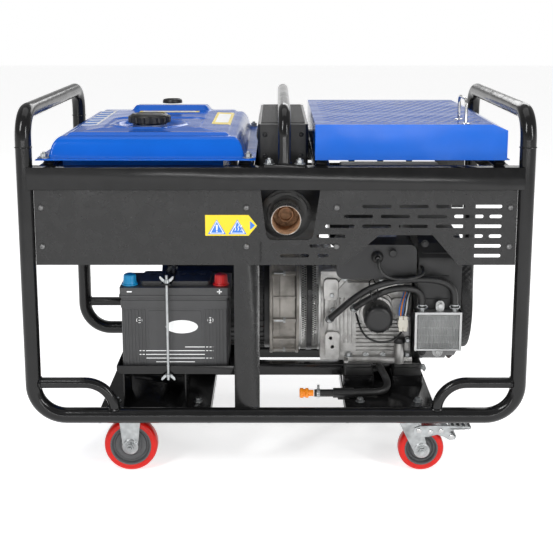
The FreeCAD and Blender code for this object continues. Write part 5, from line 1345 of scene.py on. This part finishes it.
# ------------------------------------------------------------------ bolts, decals and welds
def all_bolts():
    """Button heads on the panels; hexagon heads on the lifting bar and the tank."""
    heads = Builder()
    hexagons = Builder()
    front, rear = low("front_panel").y, high("rear_panel").y
    for start, end in islands("frame_bolts"):
        centre = (start + end) / 2
        if end.y < front + 1:
            dome_bolt(heads, (centre.x, front, centre.z), -Y, 6, 4)
        elif start.y > rear - 1:
            dome_bolt(heads, (centre.x, rear, centre.z), Y, 6, 4)
        else:
            hex_bolt(hexagons, (centre.x, centre.y, start.z), Z, 13, 9, 11)
            hexagons.lathe(rectangle(0, 8.4, 3.6, 12), aim((centre.x, centre.y, start.z), Z), 20)
    heads.done("panel_screws", "chassis", BOLT_DARK, "bolt_dark", ("frame_bolts",))
    for x in (low("engine_cover").x + 24, high("engine_cover").x - 24):
        hex_bolt(hexagons, (x, low("engine_cover").y + 9, high("rubber_washers").z + 2), Z, 10, 7, 8)
    for x in (-336, -164, 178, 300):
        for y in (-236, 236):
            hex_bolt(hexagons, (x, y, high("battery_tray").z - 93), Z, 12, 8, 10)
    hexagons.done("frame_hexagon_bolts", "chassis", ZINC, "bolt_dark", bevel=0.3)


def decals():
    """Plain coloured signs without any lettering."""
    face = low("front_panel").y
    yellow = Builder()
    arrow = [(-140, 513), (-54, 513), (-37, 533.5), (-54, 555), (-140, 555)]
    yellow.prism(arrow, 0.25, on_front(face))
    yellow.done("warning_sign_field", "chassis", YELLOW, "panel_black")
    blue = Builder()
    for x in (-117, -76):
        blue.prism([(x - 18, 516), (x + 18, 516), (x, 546)], 0.4, on_front(face))
    blue.prism([(-51, 525), (-41, 533.5), (-51, 543)], 0.4, on_front(face))
    blue.done("warning_sign_triangles", "chassis", DECAL_BLUE, "panel_black")
    pale = Builder()
    for x in (-117, -76):
        for a in (-14.5, 14.5):
            pale.prism([(x + a, 518), (x + a * 0.86, 518), (x, 541.5), (x, 543.5)], 0.55, on_front(face))
        pale.prism([(x - 14, 517.6), (x + 14, 517.6), (x + 13, 519), (x - 13, 519)], 0.55, on_front(face))
    pale.prism([(-118.2, 524), (-115.8, 524), (-115.2, 535), (-118.8, 535)], 0.55, on_front(face))
    pale.prism(rounded_outline(-118.3, 520.3, -115.7, 522.9, 1.2), 0.55, on_front(face))
    for number in range(3):
        x = -82 + number * 6
        bend = [(x, 523), (x + 2, 527), (x, 530), (x + 2, 534)]
        pale.prism(bend + [(px + 1.3, pz) for px, pz in reversed(bend)], 0.55, on_front(face))
    pale.done("warning_sign_symbols", "chassis", DECAL_WHITE, "panel_black")
    left, right_edge = low("fuel_tank_top").x, high("fuel_tank_top").x
    gauge = middle("fuel_gauge")
    labels = Builder()
    dome_label(labels, left + 56, -110, left + 96, 190, 0.4)
    labels.done("tank_label_white", "chassis", DECAL_WHITE, "tank_blue")
    bars = Builder()
    for number in range(6):
        y = -96 + number * 48
        dome_label(bars, left + 62, y, left + 90, y + 26, 0.7)
    bars.done("tank_label_bars", "chassis", DECAL_BLUE, "tank_blue")
    right = Builder()
    dome_label(right, right_edge - 98, -90, right_edge - 58, 150, 0.4)
    dome_label(right, gauge.x - 70, gauge.y - 88, gauge.x + 70, gauge.y - 60, 0.4)
    right.done("tank_label_yellow", "chassis", YELLOW, "tank_blue")
    inner = Builder()
    dome_label(inner, right_edge - 92, -56, right_edge - 64, 116, 0.7)
    dome_label(inner, gauge.x - 62, gauge.y - 80, gauge.x + 62, gauge.y - 68, 0.7)
    inner.done("tank_label_panel", "chassis", DECAL_WHITE, "tank_blue")


def weld_ring(builder, centre, axis, radius, thick, ripple, seed):
    """A slightly uneven bead round a joint."""
    place = aim(centre, axis)
    points = []
    count = 40
    for step in range(count + 1):
        angle = TURN * step / count
        reach = radius + ripple * math.sin(angle * 13 + seed)
        points.append(place @ Vector((reach * math.cos(angle), reach * math.sin(angle), 0)))
    builder.tube(points, thick, 8)


def welds():
    """Beads where tubes, rails, braces and posts meet."""
    beads = Builder()
    tube = 16
    post_x = high("frame_tubes").x - tube
    post_y = high("frame_tubes").y - tube
    floor_z = low("frame_tubes").z + tube
    for face in (-1, 1):
        for side in (-1, 1):
            weld_ring(beads, (side * (post_x - tube + 1.5), face * post_y, 205), (side, 0, 0), 11.3, 2.4,
                      0.5, side)
            weld_ring(beads, (side * 330, face * post_y, floor_z + tube - 1.5), -Z, 11.3, 2.4, 0.5, face)
            weld_ring(beads, (side * post_x, face * post_y, 690), Z, 16.1, 1.3, 0.3, side)
            for z in (low("top_frame").z + 2, high("top_frame").z - 2):
                run = []
                for step in range(15):
                    y = face * post_y + (step - 7) * 2
                    run.append((side * (post_x - 15.2 + 0.4 * math.sin(step * 2.2)), y, z))
                beads.tube(run, 2, 8)
        foot = "lifting_bar"
        weld_ring(beads, (17, face * post_y, low(foot).z + 6.5), Z, 12.8, 2.3, 0.5, face)
        posts_low, posts_high = low("mid_posts").x, high("mid_posts").x
        for z in (floor_z + tube - 1, low("top_frame").z - 0.5):
            run = [(posts_low + 2 + step * (posts_high - posts_low - 4) / 24,
                    face * (post_y + 0.2 + 0.4 * math.sin(step * 2.5)), z) for step in range(25)]
            beads.tube(run, 2.2, 8)
    for x_low, x_high in ((-362, -138), (148, 330)):
        for face in (-1, 1):
            for start in (x_low + 12, (x_low + x_high) / 2 - 20, x_high - 52):
                run = [(start + step * 4, face * (post_y - 11.5),
                        floor_z + 11.5 + 0.5 * math.sin(step * 2.1))
                       for step in range(11)]
                beads.tube(run, 2.4, 8)
    notch = low("front_panel").y
    run = [(-30 + 0.5 * math.sin(step * 1.9), notch - 0.2, 500 - step * 3.2) for step in range(14)]
    beads.tube(run, 1.5, 8)
    beads.done("weld_beads", "chassis", FRAME_BLACK, "frame_black")


def handle():
    """The wire pull on its two small feet."""
    node = "cover_handle"
    start, end = low(node), high(node)
    x = (start.x + end.x) / 2
    radius = 3
    front, back, top = start.y + radius, end.y - radius, end.z - radius
    points = [(x, front, start.z)]
    for step in range(9):
        angle = math.pi / 2 * step / 8
        points.append((x, front + 14 - 14 * math.cos(angle), top - 14 + 14 * math.sin(angle)))
    for step in range(9):
        angle = math.pi / 2 * step / 8
        points.append((x, back - 14 + 14 * math.sin(angle), top - 14 + 14 * math.cos(angle)))
    points.append((x, back, start.z))
    wire = Builder()
    wire.tube(points, radius, 20)
    for y in (front, back):
        wire.lathe([(3.1, 0), (9, 0), (8.4, 1.2), (5, 2), (3.1, 2.2)], aim((x, y, start.z), Z), 32,
                   closed=True)
    wire.done("handle_wire", "chassis", CHROME, "zinc", (node,))


def mounts():
    """Rubber blocks with ribs and round edges in folded steel cups, and a galvanised bracket."""
    steel, rubber = Builder(), Builder()
    for start, end in islands("engine_mounts"):
        if end.z - start.z > 55 and end.y - start.y > 150:
            continue
        if end.z - start.z < 23:
            steel.prism(rounded_outline(start.x - 0.4, start.y - 0.4, end.x + 0.4, end.y + 0.4, 4),
                        end.z - start.z + 0.3, raised(start.z))
            for x in (start.x + 8, end.x - 8):
                hex_bolt(steel, (x, start.y + 0.5, start.z + 10), -Y, 9, 5, 6)
        else:
            rubber.prism(rounded_outline(start.x + 1, start.y + 1, end.x - 1, end.y - 1, 8),
                         end.z - start.z - 1, raised(start.z + 0.5))
            rubber.prism(rounded_outline(start.x - 2, start.y - 2.6, end.x + 2, end.y + 2.6, 9), 9,
                         raised(start.z + 18))
    steel.done("mount_cups", "chassis", FRAME_BLACK, "housing_black", bevel=1.6)
    rubber.done("mount_rubbers", "chassis", RUBBER, "rubber_black", bevel=3, segments=3)
    bracket = Builder()
    right = high("engine_mounts").x
    tab = [(right - 14, 186), (right + 4, 186), (right + 9, 176), (right + 4, 168), (right - 2, 176),
           (right - 14, 178)]
    bracket.prism(tab, 3, on_front(-130))
    hex_bolt(bracket, (right - 2, -133, 180), -Y, 9, 5, 6)
    bracket.done("mount_bracket", "chassis", ZINC, None, bevel=0.5)


def washers():
    """Rubber discs with a waist under the tank and the cover."""
    discs = Builder()
    for start, end in islands("rubber_washers"):
        centre = (start + end) / 2
        height = end.z - start.z
        discs.lathe([(0, 0), (11.6, 0), (12, 1.4), (11.4, 3), (9.4, height / 2), (11.4, height - 3),
                     (12, height - 1.4),
                     (11.6, height), (0, height)], aim((centre.x, centre.y, start.z), Z), 40)
    discs.done("rubber_feet", "chassis", RUBBER, "rubber_black", ("rubber_washers",))


# ------------------------------------------------------------------ control panel
def control_panel():
    """Sockets with lids, terminals, meter window, dial marks and screws at the rear."""
    face = high("control_box").y
    box_low, box_high = low("control_box"), high("control_box")
    metal, black, pale, red = Builder(), Builder(), Builder(), Builder()
    for start, end in islands("panel_sockets"):
        centre = (start + end) / 2
        wide, tall = end.x - start.x, end.z - start.z
        place = aim((centre.x, face, centre.z), Y)
        if 57 < wide < 70 and abs(wide - tall) < 1:
            radius = wide / 2
            black.prism(rectangle(centre.x - radius - 4, centre.z - radius - 4, centre.x + radius + 4,
                                  centre.z + radius + 4),
                        3, on_rear(face))
            holes = 3 if radius < 32 else 4
            for number in range(holes):
                angle = TURN * number / holes + 0.5
                spot = place @ Matrix.Translation(((radius - 18) * math.cos(angle),
                                                   (radius - 18) * math.sin(angle), 6))
                metal.sleeve(2.2, 3.4, 0, 1.4, spot, 20)
            for x in (-1, 1):
                for z in (-1, 1):
                    dome_bolt(metal, (centre.x + x * radius, face + 3, centre.z + z * radius), Y, 3, 1.8)
            black.tube([(centre.x - 12, face + 14, centre.z + radius + 1),
                        (centre.x + 12, face + 14, centre.z + radius + 1)],
                       3, 12)
        elif wide < 50 and abs(wide - tall) < 1:
            metal.sleeve(13.2, 17, 1, 20, place, 40)
            mark_z = centre.z + 32
            pale.prism(rectangle(centre.x - 6, mark_z - 1.2, centre.x + 6, mark_z + 1.2), 0.5,
                       on_rear(face))
            if centre.x > -190:
                pale.prism(rectangle(centre.x - 1.2, mark_z - 6, centre.x + 1.2, mark_z + 6), 0.6,
                           on_rear(face))
        elif wide > 80:
            black.prism(rounded_outline(start.x - 3, start.z - 3, end.x + 3, end.z + 3, 4), 5,
                        on_rear(face))
            window = rounded_outline(start.x + 5, start.z + 6, end.x - 5, end.z - 6, 2)
            red.prism(window, 1, on_rear(end.y))
    dial = middle("current_dial")
    for number in range(11):
        angle = math.radians(-135 + 27 * number)
        inner, outer = 25, 30 if number % 5 == 0 else 28
        a = Vector((dial.x - math.sin(angle) * inner, 0, dial.z + math.cos(angle) * inner))
        b = Vector((dial.x - math.sin(angle) * outer, 0, dial.z + math.cos(angle) * outer))
        pale.tube([(a.x, face + 0.3, a.z), (b.x, face + 0.3, b.z)], 0.6, 6)
    metal.lathe([(11.6, 0), (17, 0), (17, 2), (15, 3.4), (11.6, 3.4)], aim((-300, face, 543), Y), 48,
                closed=True)
    for x in (box_low.x + 12, box_high.x - 12):
        for z in (box_low.z + 12, (box_low.z + box_high.z) / 2, box_high.z - 12):
            dome_bolt(metal, (x, face, z), Y, 5, 3)
    border = rounded_outline(box_low.x + 22, 455, box_high.x - 22, 458, 1)
    pale.prism(border, 0.4, on_rear(face))
    metal.done("panel_metal", "chassis", ZINC, "zinc", bevel=0.3)
    black.done("panel_socket_plates", "chassis", PLASTIC, "plastic_black", bevel=0.8)
    pale.done("panel_marks", "chassis", DECAL_WHITE, None)
    red.done("meter_window", "chassis", GLASS_DARK, None)
    pointer = Builder()
    pointer.prism(rectangle(dial.x - 1, dial.z + 4, dial.x + 1, dial.z + 14),
                  0.5, on_rear(high("current_dial").y - 0.1))
    for number in range(20):
        angle = TURN * number / 20
        x, z = dial.x + 17 * math.cos(angle), dial.z + 17 * math.sin(angle)
        pointer.tube([(x, face + 6, z), (x - 2 * math.cos(angle), face + 19, z - 2 * math.sin(angle))],
                     0.9, 6)
    pointer.done("dial_grip", "current_dial", PLASTIC_SOFT, "plastic_black")


all_bolts()
decals()
welds()
handle()
mounts()
washers()
control_panel()


# ------------------------------------------------------------------ sizes and end
low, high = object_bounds()
